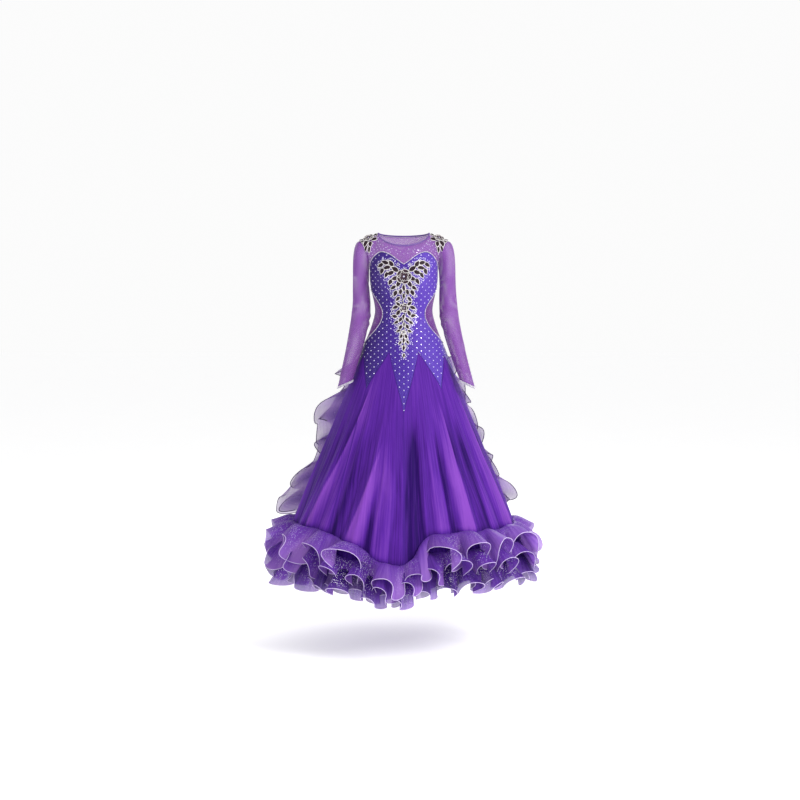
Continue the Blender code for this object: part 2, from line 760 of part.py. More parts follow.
def build_neck_binding(front, back):
    """Narrow band that closes the neck edge."""
    columns = len(front[0][0]) - 1
    first = round(columns * (1.0 - NECK_SHARE) / 2)
    last = columns - first
    edge, leans = [], []
    stretches = ((front, range(first, last + 1)), (back, range(last - 1, first, -1)))
    for (rows, normals), places in stretches:
        for c in places:
            up = (rows[0][c] - rows[1][c]).normalized()
            if c in (first, last):
                inward = Vector((-rows[0][c].x, 0.0, 0.0)).normalized()
                up = inward.lerp(Vector((0.0, 0.0, 1.0)), NECK_SIDE_RISE).normalized()
            edge.append(rows[0][c] - normals[0][c] * (MESH_WALL / 2))
            leans.append(up)
    band("neck_binding", edge, leans, BINDING_HALF_WIDTH, BINDING_HALF_THICKNESS, BINDING_SATIN)


def sleeve_ring(z, side, place):
    """Point of the sleeve's level ring: place 0 at the body side, 0.25 front, 0.5 outside."""
    right_axis, left_axis, depth, half_width, half_depth = read_table(SLEEVE_RINGS, z)
    axis = left_axis if side > 0 else right_axis
    angle = 2.0 * math.pi * place
    x = axis - half_width * math.cos(angle)
    return Vector((side * x, depth - half_depth * math.sin(angle), z))


def build_sleeve(name, side, front, back):
    """Set-in sleeve from the armhole to a cuff that points over the hand."""
    edge = -1 if side > 0 else 0
    loop = [row[edge] for row in reversed(front[0])] + [row[edge] for row in back[0][1:-1]]
    count = len(loop)
    first_height = SLEEVE_RINGS[0][0]
    rows = [[] for _ in range(SLEEVE_CAP_ROWS)]
    for c, start in enumerate(loop):
        place = c / count
        outside = (1.0 - math.cos(2.0 * math.pi * place)) / 2
        end = sleeve_ring(first_height, side, place)
        start = start + Vector((side * ARMHOLE_GAP, 0.0, 0.0))
        pull = CAP_UNDERARM_PULL + (CAP_OUTWARD_PULL - CAP_UNDERARM_PULL) * outside
        start_pull = Vector((side * pull, 0.0, -0.15 * pull))
        end_pull = Vector((0.0, 0.0, (end.z - start.z) * 1.1))
        for r in range(SLEEVE_CAP_ROWS):
            rows[r].append(hermite(start, end, start_pull, end_pull, r / SLEEVE_CAP_ROWS))
    for ring in SLEEVE_RINGS:
        line = []
        for c in range(count):
            place = c / count
            outside = (1.0 - math.cos(2.0 * math.pi * place)) / 2
            reach = ease((first_height - ring[0]) / (first_height - SLEEVE_RINGS[-1][0]))
            point = sleeve_ring(ring[0], side, place)
            point.z -= CUFF_SLANT * outside * reach ** 6
            point.x += side * CUFF_LEAN * outside * reach ** 6
            line.append(point)
        rows.append(line)
    normals = grid_normals(rows, closed=True, flip=side < 0)
    wall(name, rows, normals, MESH_WALL, MESH_KNIT, closed=True)
    return rows, normals


def build_cuff(name, sleeve):
    """Beaded band along the cuff edge."""
    rows, normals = sleeve
    edge, leans = [], []
    for above, point, normal in zip(rows[-2], rows[-1], normals[-1]):
        edge.append(point - normal * (MESH_WALL / 2))
        leans.append(point - above)
    band(name, edge, leans, CUFF_BAND_HALF_WIDTH, CUFF_BAND_HALF_THICKNESS, SILVER_TRIM)


def leaf_relief(across, row):
    """Height of the paired leaves and the rose at a place on the front applique."""
    vein = math.cos(2.0 * math.pi * (LEAVES_PER_ROW * row - 0.45 * abs(across)))
    leaf = LEAF_RISE * max(vein, 0.0) * (1.0 - 0.5 * abs(across))
    away = (row - ROSE_ROW) ** 2 / ROSE_SPREAD ** 2 + (across * 3.0) ** 2
    rose = ROSE_RISE * math.exp(-away) * (0.75 + 0.25 * math.cos(9.0 * math.sqrt(away)))
    return APPLIQUE_BASE + leaf + rose


def build_front_applique(front):
    """Rose and paired leaves on the bodice front, with scalloped sides, tapering to a point."""
    points, directions = front
    centre_column = (len(points[0]) - 1) / 2
    first, last = FRONT_APPLIQUE[0][0], FRONT_APPLIQUE[-1][0]
    rows, normals, depths = [], [], []
    for r in range(round((last - first) / APPLIQUE_ROW_STEP) + 1):
        row = first + APPLIQUE_ROW_STEP * r
        half, gap = read_table(FRONT_APPLIQUE, row)
        half *= 1.0 + 0.16 * math.cos(2.0 * math.pi * LEAVES_PER_ROW * row)
        line, line_normals, line_depths = [], [], []
        for c in range(APPLIQUE_COLUMNS + 1):
            across = -1.0 + 2.0 * c / APPLIQUE_COLUMNS
            place = (row, centre_column + across * half)
            normal = between(directions, *place).normalized()
            depth = leaf_relief(across, row)
            line.append(between(points, *place) + normal * (gap + depth))
            line_normals.append(normal)
            line_depths.append(depth)
        rows.append(line)
        normals.append(line_normals)
        depths.append(line_depths)
    wall("applique_front", rows, normals, depths, DARK_APPLIQUE)


def build_shoulder_applique(name, side, front, back):
    """Flower that lies over the shoulder seam, its petals standing up."""
    last = len(front[0][0]) - 1
    inner, outer = last * SHOULDER_APPLIQUE_SPAN[0], last * SHOULDER_APPLIQUE_SPAN[1]
    places = [(front, row) for row in (3.0, 2.5, 2.0, 1.5, 1.0, 0.5)]
    places += [(None, 0.0)]
    places += [(back, row) for row in (0.5, 1.0, 1.5, 2.0)]
    rows, normals, depths = [], [], []
    for r, (panel, row) in enumerate(places):
        along = r / (len(places) - 1)
        narrowing = 0.55 + 0.45 * math.sin(math.pi * along)
        line, line_normals, line_depths = [], [], []
        for c in range(SHOULDER_APPLIQUE_COLUMNS + 1):
            across = c / SHOULDER_APPLIQUE_COLUMNS
            column = (inner + outer) / 2 + (across - 0.5) * (outer - inner) * narrowing
            column = column if side > 0 else last - column
            if panel is None:
                point = (between(front[0], 0.0, column) + between(back[0], 0.0, column)) / 2
                normal = (between(front[1], 0.0, column) + between(back[1], 0.0, column)).normalized()
            else:
                point = between(panel[0], row, column)
                normal = between(panel[1], row, column).normalized()
            angle = math.atan2(along - 0.5, across - 0.5)
            away = min(math.hypot(along - 0.5, across - 0.5) * 2.0, 1.0)
            petal = abs(math.cos(angle * SHOULDER_PETALS / 2))
            depth = APPLIQUE_BASE + SHOULDER_PETAL_RISE * (0.35 + 0.65 * petal * (1.0 - away) ** 0.5)
            line.append(point + normal * (APPLIQUE_GAP + depth))
            line_normals.append(normal)
            line_depths.append(depth)
        rows.append(line)
        normals.append(line_normals)
        depths.append(line_depths)
    wall(name, rows, normals, depths, DARK_APPLIQUE)


def build_dress():
    """All pieces of the dress."""
    bodice = build_bodice()
    build_insert("waist_insert_left", 1)
    build_insert("waist_insert_right", -1)
    build_skirt()
    lap = LAP_GAP + ORGANZA_WALL
    build_ruffle("hem_ruffle_upper", UPPER_RUFFLE_HEIGHT, UPPER_RUFFLE, lap)
    build_ruffle("hem_ruffle_lower", SKIRT_HEM, LOWER_RUFFLE, 0.0)
    build_cascade("cascade_side_left", SIDE_CASCADE_TURN, SIDE_CASCADE_LEFT)
    build_cascade("cascade_side_right", 360.0 - SIDE_CASCADE_TURN, SIDE_CASCADE_RIGHT)
    build_cascade("cascade_back_left", BACK_CASCADE_TURN, BACK_CASCADE)
    build_cascade("cascade_back_right", 360.0 - BACK_CASCADE_TURN, BACK_CASCADE)
    yoke_front, yoke_back = build_yoke()
    build_neck_binding(yoke_front, yoke_back)
    for side, word in ((1, "left"), (-1, "right")):
        sleeve = build_sleeve(f"sleeve_{word}", side, yoke_front, yoke_back)
        build_cuff(f"cuff_trim_{word}", sleeve)
        build_shoulder_applique(f"applique_shoulder_{word}", side, yoke_front, yoke_back)
    build_front_applique(bodice)


build_dress()
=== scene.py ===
"""Looks of the princess dress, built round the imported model.

Metres, +Z up, front towards -Y. A turn is in degrees round the body: 0 at the centre front, 90 at +X.
"""
import math
import random

import bpy
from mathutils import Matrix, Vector


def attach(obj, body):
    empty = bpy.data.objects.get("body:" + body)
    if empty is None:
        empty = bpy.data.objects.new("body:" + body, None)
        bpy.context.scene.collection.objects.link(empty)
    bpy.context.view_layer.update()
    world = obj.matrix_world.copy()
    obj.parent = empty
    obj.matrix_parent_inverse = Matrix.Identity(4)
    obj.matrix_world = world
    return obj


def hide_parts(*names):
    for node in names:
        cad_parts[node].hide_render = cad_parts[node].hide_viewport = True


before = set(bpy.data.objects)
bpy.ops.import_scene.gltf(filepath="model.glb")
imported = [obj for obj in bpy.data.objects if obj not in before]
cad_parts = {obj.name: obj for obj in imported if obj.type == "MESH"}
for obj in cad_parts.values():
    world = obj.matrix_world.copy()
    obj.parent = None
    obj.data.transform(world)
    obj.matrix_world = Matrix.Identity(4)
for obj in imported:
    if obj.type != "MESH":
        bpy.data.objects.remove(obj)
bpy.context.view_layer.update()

# Gaps at seams and under trims
SEAM_GAP = 0.0003
GORE_SEAM_DROP = 0.0006
BAND_GAP = 0.0006

# Turn that one skirt panel covers
PANEL_TURN = 45.0

# Body and skirt sections: height, half width, front depth, back depth
SECTIONS = (
    (-0.050, 0.1120, 0.0760, 0.0840),
    (-0.085, 0.1190, 0.0880, 0.0900),
    (-0.122, 0.1215, 0.0985, 0.0920),
    (-0.162, 0.1210, 0.1040, 0.0900),
    (-0.198, 0.1165, 0.0970, 0.0850),
    (-0.245, 0.1060, 0.0860, 0.0760),
    (-0.277, 0.1030, 0.0830, 0.0730),
    (-0.317, 0.1120, 0.0900, 0.0860),
    (-0.356, 0.1260, 0.1010, 0.1040),
    (-0.400, 0.1450, 0.1150, 0.1260),
    (-0.450, 0.1640, 0.1340, 0.1480),
    (-0.500, 0.1830, 0.1560, 0.1720),
    (-0.623, 0.2300, 0.2110, 0.2250),
    (-0.785, 0.2920, 0.2750, 0.2850),
    (-0.886, 0.3320, 0.3120, 0.3200),
    (-1.037, 0.3880, 0.3640, 0.3730),
    (-1.130, 0.4150, 0.3900, 0.4000),
    (-1.260, 0.4400, 0.4140, 0.4250),
)
SIDE_SPREAD = 4.0

# Bust cups: turn and height of the fullest point, how far it stands out, and its spread
CUP_TURN = 29.0
CUP_HEIGHT = -0.158
CUP_RISE = 0.017
CUP_TURN_SPREAD = 17.0
CUP_HEIGHT_SPREAD = 0.042

# Skirt folds: turn where each starts, turn at the hem, how far it stands out, its half spread
FOLDS = (
    (-39.0, -70.0, 0.022, 7.0),
    (-26.0, -51.0, 0.014, 6.0),
    (-7.0, -33.0, 0.026, 7.0),
    (-4.0, -13.0, 0.016, 6.0),
    (18.0, 22.0, 0.020, 6.0),
    (37.0, 40.0, 0.025, 7.0),
    (50.0, 58.0, 0.015, 6.0),
    (66.0, 75.0, 0.018, 7.0),
    (88.0, 93.0, 0.012, 6.0),
    (101.0, 109.0, 0.020, 7.0),
    (119.0, 126.0, 0.023, 7.0),
    (140.0, 143.0, 0.015, 6.0),
    (157.0, 161.0, 0.025, 7.0),
    (178.0, 179.0, 0.017, 6.0),
    (199.0, 198.0, 0.022, 7.0),
    (215.0, 217.0, 0.015, 6.0),
    (234.0, 235.0, 0.023, 7.0),
    (254.0, 252.0, 0.018, 6.0),
    (275.0, 271.0, 0.012, 6.0),
)
FOLD_START = -0.47
FOLD_FULL = -1.10

# Upper edge of the bodice: turn from the centre front, height
BODICE_TOP = (
    (0.0, -0.110),
    (11.0, -0.096),
    (22.5, -0.080),
    (35.0, -0.069),
    (50.0, -0.066),
    (67.0, -0.083),
    (80.0, -0.104),
    (90.0, -0.122),
    (112.0, -0.119),
    (135.0, -0.124),
    (157.0, -0.141),
    (180.0, -0.155),
)

# Zigzag seam from the front round to the back: gore point, godet top, gore point and so on
GORE_HEIGHTS = (-0.628, -0.416, -0.548, -0.430, -0.560, -0.425, -0.550, -0.420, -0.600)
HALF_GODET = 22.5
POINT_SLIMNESS = 0.78

BODICE_ROWS = 15
LEVEL_ROW = 12
LEVEL_HEIGHT = -0.395
INSERT_FIRST_ROW = 3
INSERT_LAST_ROW = 12
INSERT_FRONT_TURN = 41.0
INSERT_BACK_TURN = 30.0
INSERT_TIP_SHARE = 0.3

UPPER_RUFFLE_HEIGHT = -1.035
SKIRT_HEM = -1.130

# Yoke, neck and armholes
NECK_SHARE = 2.0 / 3.0
NECK_HALF_WIDTH = 0.0945
NECK_SIDE_Y = -0.004
NECK_FRONT_DEPTH = 0.067
NECK_BACK_DEPTH = 0.060
NECK_FRONT_DROP = 0.047
NECK_BACK_DROP = 0.010
NECK_CURVE = 1.2
SHOULDER_TIP = Vector((0.1580, 0.0, -0.0260))
SHOULDER_SAG = 0.002
ARMHOLE_START = 0.70
ARMHOLE_PULL = Vector((-0.004, 0.085, 0.130))
SHOULDER_SIDE_PULL = Vector((0.0, 0.085, 0.045))
SHOULDER_TIP_PULL = Vector((0.030, 0.120, 0.005))
NECK_FRONT_PULL = Vector((0.0, 0.028, 0.055))
NECK_BACK_PULL = Vector((0.0, -0.022, 0.110))
NECK_SIDE_RISE = 0.5
BINDING_HALF_WIDTH = 0.0030
BINDING_HALF_THICKNESS = 0.0014

# Sleeves: height, axis distance from the centre on the -X side and on the +X side,
# axis depth, half width, half depth
SLEEVE_RINGS = (
    (-0.150, 0.1530, 0.1560, 0.000, 0.0290, 0.0370),
    (-0.198, 0.1525, 0.1570, 0.002, 0.0300, 0.0365),
    (-0.245, 0.1510, 0.1590, 0.004, 0.0320, 0.0360),
    (-0.300, 0.1550, 0.1640, 0.002, 0.0340, 0.0360),
    (-0.350, 0.1640, 0.1740, -0.012, 0.0325, 0.0345),
    (-0.407, 0.1760, 0.1880, -0.036, 0.0295, 0.0315),
    (-0.460, 0.1890, 0.2030, -0.062, 0.0265, 0.0290),
    (-0.515, 0.2030, 0.2200, -0.086, 0.0235, 0.0265),
)
ARMHOLE_GAP = 0.0006
CAP_OUTWARD_PULL = 0.075
CAP_UNDERARM_PULL = 0.006
CUFF_SLANT = 0.026
CUFF_LEAN = 0.007
CUFF_BAND_HALF_WIDTH = 0.0035
CUFF_BAND_HALF_THICKNESS = 0.0016
CUFF_BEAD_ROWS = (-0.0025, 0.0, 0.0025)
CUFF_BEAD_OUT = 0.0014
CUFF_BEAD_STEP = 0.0031
CUFF_BEAD_RADIUS = 0.0014


# Cascades: height, how far the free edge stands out, its sway round the body
SIDE_CASCADE_RIGHT = (
    (-0.440, 0.018, 0.000),
    (-0.480, 0.080, 0.018),
    (-0.535, 0.035, -0.022),
    (-0.600, 0.110, 0.020),
    (-0.665, 0.126, -0.018),
    (-0.720, 0.055, 0.026),
    (-0.775, 0.085, -0.022),
    (-0.830, 0.058, 0.022),
    (-0.890, 0.158, -0.022),
    (-0.940, 0.120, 0.026),
    (-0.985, 0.176, -0.020),
    (-1.015, 0.130, 0.010),
)
SIDE_CASCADE_LEFT = (
    (-0.440, 0.015, 0.000),
    (-0.480, 0.042, 0.015),
    (-0.540, 0.025, -0.018),
    (-0.600, 0.052, 0.018),
    (-0.665, 0.030, -0.018),
    (-0.735, 0.048, 0.022),
    (-0.800, 0.035, -0.020),
    (-0.860, 0.050, 0.022),
    (-0.925, 0.082, -0.022),
    (-0.970, 0.050, 0.024),
    (-1.015, 0.072, -0.010),
)
BACK_CASCADE = (
    (-0.440, 0.018, 0.000),
    (-0.490, 0.060, 0.018),
    (-0.550, 0.032, -0.022),
    (-0.610, 0.085, 0.022),
    (-0.680, 0.048, -0.024),
    (-0.745, 0.095, 0.024),
    (-0.805, 0.055, -0.024),
    (-0.870, 0.110, 0.024),
    (-0.930, 0.065, -0.024),
    (-0.980, 0.110, 0.022),
    (-1.015, 0.080, -0.010),
)
SIDE_CASCADE_TURN = 112.5
BACK_CASCADE_TURN = 157.5


def hermite(start, end, start_pull, end_pull, share):
    """Value or point on the cubic curve that leaves start along start_pull and reaches end."""
    square = share * share
    cube = square * share
    return (start * (2 * cube - 3 * square + 1) + end * (3 * square - 2 * cube)
            + start_pull * (cube - 2 * square + share) + end_pull * (cube - square))


def ease(share):
    """0 to 1, with level ends."""
    share = min(max(share, 0.0), 1.0)
    return share * share * (3 - 2 * share)


def read_table(table, key):
    """Other columns of a table at the key, on a smooth curve through its rows."""
    rows = sorted(table)
    last = len(rows) - 1
    if key <= rows[0][0]:
        return rows[0][1:]
    if key >= rows[last][0]:
        return rows[last][1:]
    place = next(k for k in range(last) if rows[k + 1][0] >= key)
    low, high = rows[place], rows[place + 1]
    before, after = rows[max(place - 1, 0)], rows[min(place + 2, last)]
    span = high[0] - low[0]
    share = (key - low[0]) / span
    values = []
    for column in range(1, len(low)):
        low_slope = (high[column] - before[column]) / (high[0] - before[0])
        high_slope = (after[column] - low[column]) / (after[0] - low[0])
        values.append(hermite(low[column], high[column], low_slope * span, high_slope * span, share))
    return values


def fold_height(turn, z):
    """How far the skirt's folds stand out at a turn and height."""
    fullness = (FOLD_START - z) / (FOLD_START - FOLD_FULL)
    if fullness <= 0:
        return 0.0
    grown = ease(fullness)
    total = 0.0
    for start_turn, hem_turn, rise, spread in FOLDS:
        centre = start_turn + (hem_turn - start_turn) * min(fullness, 1.0)
        away = (turn - centre + 180.0) % 360.0 - 180.0
        total += rise * grown * math.exp(-(away / spread) ** 2)
    return total


def cup_height(turn, z):
    """How far the bust cups stand out at a turn and height."""
    away = (abs(turn) - CUP_TURN) / CUP_TURN_SPREAD
    above = (z - CUP_HEIGHT) / CUP_HEIGHT_SPREAD
    return CUP_RISE * math.exp(-away * away - above * above)


def body_point(turn, z, out=0.0):
    """Point of the fitted body and flared skirt, moved out level by a distance."""
    half_width, front, back = read_table(SECTIONS, z)
    wrapped = (turn + 180.0) % 360.0 - 180.0
    angle = math.radians(wrapped - SIDE_SPREAD * math.sin(math.radians(2 * wrapped)))
    depth = front if math.cos(angle) > 0 else back
    level = Vector((half_width * math.sin(angle), -depth * math.cos(angle), 0.0))
    reach = level.length + cup_height(wrapped, z) + fold_height(wrapped, z) + out
    point = level.normalized() * reach
    return Vector((point.x, point.y, z))


def body_normal(turn, z):
    """Outward direction of the body surface."""
    across = body_point(turn + 0.2, z) - body_point(turn - 0.2, z)
    down = body_point(turn, z - 0.002) - body_point(turn, z + 0.002)
    return down.cross(across).normalized()


def bodice_top(turn):
    """Height of the bodice's upper edge."""
    return read_table(BODICE_TOP, abs((turn + 180.0) % 360.0 - 180.0))[0]


def gore_curve(turn):
    """Height of the zigzag seam's own curve between the bodice points and the skirt."""
    from_front = abs((turn + 180.0) % 360.0 - 180.0)
    place = min(int(from_front // HALF_GODET), len(GORE_HEIGHTS) - 2)
    share = from_front / HALF_GODET - place
    near, far = GORE_HEIGHTS[place], GORE_HEIGHTS[place + 1]
    if place % 2 == 0:
        return near + (far - near) * share ** POINT_SLIMNESS
    return far + (near - far) * (1.0 - share) ** POINT_SLIMNESS


def turn_of(distance, z):
    """Turn that a short distance round the body spans at a height."""
    return math.degrees(distance / read_table(SECTIONS, z)[0])


def between(grid, row, column):
    """Point or direction of a grid at a fractional row and column."""
    r = min(max(int(row), 0), len(grid) - 2)
    c = min(max(int(column), 0), len(grid[0]) - 2)
    down, round_ = row - r, column - c
    upper = grid[r][c].lerp(grid[r][c + 1], round_)
    lower = grid[r + 1][c].lerp(grid[r + 1][c + 1], round_)
    return upper.lerp(lower, down)

# Creases of the skirt between its folds: turn where each starts, turn at the hem, height where it
# starts, height where it is full, how far it stands out (below zero for a trough), its half spread
CREASES = (
    (-84.0, -86.0, -0.52, -0.92, 0.0050, 2.0),
    (-76.0, -79.0, -0.60, -1.05, -0.0045, 1.5),
    (-62.0, -74.0, -0.50, -0.80, 0.0040, 1.3),
    (-58.0, -65.5, -0.47, -0.90, -0.0055, 1.7),
    (-50.0, -60.5, -0.56, -1.00, 0.0060, 1.4),
    (-43.0, -56.0, -0.62, -0.98, -0.0040, 1.2),
    (-36.0, -46.5, -0.55, -0.84, -0.0060, 2.1),
    (-31.0, -42.0, -0.49, -0.93, 0.0045, 1.3),
    (-22.0, -37.5, -0.58, -1.02, -0.0035, 1.2),
    (-16.0, -28.5, -0.52, -0.85, 0.0055, 1.4),
    (-13.0, -23.5, -0.66, -0.98, -0.0060, 1.9),
    (-9.0, -18.0, -0.68, -0.90, 0.0042, 1.1),
    (-1.5, -7.5, -0.70, -1.04, -0.0050, 1.5),
    (1.0, -2.5, -0.66, -0.92, 0.0048, 1.3),
    (4.0, 3.5, -0.60, -0.86, -0.0070, 2.3),
    (8.5, 9.0, -0.54, -0.80, -0.0080, 2.6),
    (12.0, 13.5, -0.62, -1.00, 0.0038, 1.1),
    (16.0, 17.5, -0.50, -0.88, -0.0042, 1.3),
    (24.0, 26.5, -0.47, -0.94, 0.0050, 1.5),
    (28.0, 31.0, -0.58, -0.83, -0.0058, 1.9),
    (32.0, 34.5, -0.68, -1.03, 0.0036, 1.1),
    (43.0, 46.0, -0.52, -0.90, -0.0052, 1.7),
    (46.0, 51.0, -0.60, -0.97, 0.0047, 1.3),
    (55.0, 63.5, -0.49, -0.88, -0.0040, 1.4),
    (60.0, 68.5, -0.57, -1.00, 0.0052, 1.5),
    (71.0, 81.0, -0.50, -0.86, -0.0048, 1.6),
    (80.0, 86.5, -0.61, -1.02, 0.0040, 1.3),
    (94.0, 100.0, -0.50, -0.90, -0.0050, 1.8),
    (106.0, 116.0, -0.58, -0.96, 0.0046, 1.4),
    (113.0, 120.5, -0.52, -0.85, -0.0042, 1.5),
    (126.0, 133.0, -0.49, -0.92, -0.0055, 1.9),
    (133.0, 138.0, -0.60, -1.00, 0.0044, 1.2),
    (146.0, 150.0, -0.52, -0.88, -0.0048, 1.6),
    (151.0, 155.5, -0.63, -1.04, 0.0038, 1.2),
    (164.0, 168.0, -0.50, -0.90, -0.0056, 1.9),
    (171.0, 173.5, -0.57, -0.97, 0.0046, 1.4),
    (185.0, 186.0, -0.52, -0.86, -0.0045, 1.6),
    (191.0, 191.5, -0.60, -1.01, 0.0040, 1.2),
    (206.0, 206.5, -0.49, -0.89, -0.0054, 1.8),
    (211.0, 212.0, -0.63, -1.00, 0.0042, 1.3),
    (224.0, 225.5, -0.53, -0.87, -0.0047, 1.6),
    (229.0, 230.0, -0.59, -0.98, 0.0040, 1.2),
    (243.0, 243.5, -0.50, -0.91, -0.0052, 1.8),
    (248.0, 247.5, -0.62, -1.03, 0.0042, 1.3),
    (262.0, 261.0, -0.54, -0.86, -0.0046, 1.5),
    (269.0, 266.0, -0.60, -0.95, 0.0038, 1.2),
)

# Sharp ridges of the skirt, each with a painted highlight line, a broad painted highlight on one
# side and painted shade on the other: turn where each starts, turn at the hem, height where it
# starts, side of its broad painted highlight
RIDGE_LINES = ((-36.0, -66.5, -0.49, 1), (-6.0, -35.0, -0.70, 1), (37.0, 41.5, -0.56, -1),
               (66.0, 76.0, -0.52, -1), (113.0, 120.0, -0.55, 1), (150.0, 154.0, -0.60, -1),
               (193.0, 191.0, -0.52, 1), (226.0, 230.0, -0.60, -1), (257.0, 255.0, -0.50, 1))
RIDGE_SPREAD = 0.50
# Reach in degrees of the painted highlight beside a ridge and of the painted shade behind it
PAINTED_HIGHLIGHT_REACH = 11.0
PAINTED_SHADE_REACH = 5.0
# Deep shaded valleys: turn where each starts, turn at the hem, height where it starts, half spread
VALLEY_LINES = ((9.0, 6.5, -0.62, 2.6), (-14.0, -21.0, -0.80, 1.8), (-30.0, -43.0, -0.66, 2.4),
                (26.0, 29.0, -0.64, 2.0), (49.0, 52.0, -0.60, 2.4), (97.0, 101.0, -0.60, 2.6),
                (132.0, 135.0, -0.62, 2.4), (168.0, 169.0, -0.60, 2.6), (207.0, 207.5, -0.62, 2.4),
                (244.0, 244.0, -0.60, 2.6))
RIDGE_RISE = 0.0022

# Soft creases of a sleeve: height, place round it, rise, height spread, place spread, slant
SLEEVE_CREASES = (
    (-0.128, 0.10, 0.0022, 0.012, 0.10, 0.30),
    (-0.140, 0.86, 0.0018, 0.010, 0.09, -0.25),
    (-0.176, 0.05, -0.0020, 0.011, 0.12, 0.35),
    (-0.232, 0.30, 0.0012, 0.013, 0.13, -0.20),
    (-0.268, 0.70, 0.0016, 0.012, 0.14, 0.22),
    (-0.292, 0.04, 0.0024, 0.008, 0.13, 0.15),
    (-0.306, 0.10, -0.0022, 0.007, 0.14, 0.18),
    (-0.322, 0.02, 0.0026, 0.008, 0.12, 0.10),
    (-0.343, 0.93, -0.0018, 0.009, 0.13, -0.14),
    (-0.392, 0.40, 0.0012, 0.012, 0.10, 0.20),
    (-0.436, 0.15, 0.0014, 0.009, 0.12, -0.16),
    (-0.466, 0.78, 0.0016, 0.007, 0.13, 0.12),
    (-0.483, 0.20, 0.0015, 0.006, 0.15, 0.10),
    (-0.498, 0.62, -0.0013, 0.006, 0.13, -0.10),
)

# Ruffle edges: turn of each arch, its size
UPPER_ARCHES = (
    (-173.0, 0.95), (-155.0, 1.10), (-136.0, 0.85), (-120.0, 1.15), (-101.0, 0.95), (-84.0, 1.05),
    (-66.0, 0.85), (-47.0, 1.25), (-28.0, 1.30), (-9.0, 0.85), (4.0, 0.60), (17.0, 1.30),
    (36.0, 0.95), (48.0, 1.20), (66.0, 0.90), (83.0, 1.10), (101.0, 0.90), (118.0, 1.15),
    (135.0, 0.90), (153.0, 1.10), (170.0, 0.85),
)
LOWER_ARCHES = (
    (-168.0, 1.00), (-150.0, 0.85), (-135.0, 1.15), (-118.0, 0.90), (-103.0, 1.10), (-88.0, 0.85),
    (-73.0, 1.05), (-57.0, 1.20), (-43.0, 0.75), (-31.0, 1.05), (-17.0, 0.80), (-6.0, 1.05),
    (9.0, 0.80), (20.0, 0.95), (31.0, 1.25), (46.0, 0.90), (58.0, 1.10), (72.0, 0.85),
    (86.0, 1.05), (101.0, 0.85), (117.0, 1.15), (131.0, 0.85), (146.0, 1.05), (161.0, 0.90),
    (176.0, 0.80),
)
MIDDLE_ARCHES = (
    (-178.0, 1.05), (-161.0, 0.85), (-144.0, 1.10), (-126.0, 0.90), (-110.0, 1.15), (-94.0, 0.85),
    (-79.0, 1.05), (-62.0, 0.95), (-50.0, 1.15), (-36.0, 0.80), (-22.0, 1.05), (-12.0, 0.75),
    (1.0, 0.90), (12.0, 0.80), (25.0, 1.15), (39.0, 0.85), (52.0, 1.10), (65.0, 0.85),
    (80.0, 1.05), (94.0, 0.85), (110.0, 1.15), (127.0, 0.85), (143.0, 1.05), (160.0, 0.90),
)
INNER_ARCHES = tuple((-176.0 + 13.8 * k + 2.5 * math.sin(2.3 * k), 0.9 + 0.25 * math.sin(1.7 * k))
                     for k in range(26))

# Where the hem dips or rises: turn, rise of the upper ruffle's root, extra reach of the ruffles
HEM_SWING = (
    (-180.0, 0.000, 0.000),
    (-120.0, 0.000, 0.004),
    (-92.0, 0.004, 0.022),
    (-72.0, 0.010, 0.020),
    (-52.0, 0.012, 0.010),
    (-36.0, -0.008, 0.006),
    (-24.0, -0.032, 0.004),
    (-14.0, -0.072, 0.000),
    (-4.0, -0.086, 0.000),
    (4.0, -0.074, 0.004),
    (9.0, -0.022, 0.010),
    (15.0, 0.008, 0.014),
    (42.0, 0.012, 0.010),
    (66.0, 0.006, 0.006),
    (95.0, 0.002, 0.010),
    (130.0, 0.000, 0.004),
    (180.0, 0.000, 0.000),
)
MIDDLE_SWING = 0.72
LOWER_SWING = 0.42

# The last value of each tier lifts or lowers its whole painted shade: the tiers under the upper one are
# painted darker.
RUFFLES = {
    "upper": {"arches": UPPER_ARCHES, "drop": 0.076, "flare": 0.038, "out": 0.036, "lift": 0.043,
              "sway": 0.021, "twist": 0.7, "swing": 1.0, "puff": 0.012, "painted_tier_light": 0.26},
    "lower": {"arches": LOWER_ARCHES, "drop": 0.086, "flare": 0.010, "out": 0.029, "lift": 0.015,
              "sway": 0.017, "twist": 0.8, "swing": LOWER_SWING, "puff": 0.006, "painted_tier_light": -0.22},
    "middle": {"arches": MIDDLE_ARCHES, "drop": 0.066, "flare": 0.026, "out": 0.034, "lift": 0.028,
               "sway": 0.020, "twist": 0.9, "swing": MIDDLE_SWING, "puff": 0.010, "painted_tier_light": 0.02},
    "inner": {"arches": INNER_ARCHES, "drop": 0.078, "flare": -0.008, "out": 0.020, "lift": 0.015,
              "sway": 0.016, "twist": 1.0, "swing": LOWER_SWING, "puff": 0.0, "painted_tier_light": 0.10},
}
MIDDLE_RUFFLE_HEIGHT = -1.088
RUFFLE_STEP = 0.5
RUFFLE_LINES = 16
GATHERS = 190
GATHER_RISE = 0.0016
CORD_RADIUS = 0.0011

# Glitter patches of the ruffles: turn, spread, strength
GLITTER_PATCHES = (
    (-64.0, 6.0, 0.55), (-48.0, 4.0, 0.45), (-31.0, 5.0, 1.00), (-19.0, 4.0, 0.70), (1.0, 4.0, 0.45),
    (24.0, 5.0, 0.95), (39.0, 4.0, 0.60), (57.0, 6.0, 0.60), (80.0, 6.0, 0.50), (104.0, 6.0, 0.60),
    (129.0, 6.0, 0.70), (156.0, 6.0, 0.55), (181.0, 6.0, 0.65), (205.0, 6.0, 0.55), (232.0, 6.0, 0.70),
    (259.0, 6.0, 0.60), (277.0, 5.0, 0.50),
)

BODICE_FINE_STEP = 1.5
BODICE_LINES = 75
SKIRT_FINE_STEP = 0.75
SKIRT_LINES = 84
PANEL_GAP = -0.0002
YOKE_COLUMNS = 120
YOKE_LINES = 24


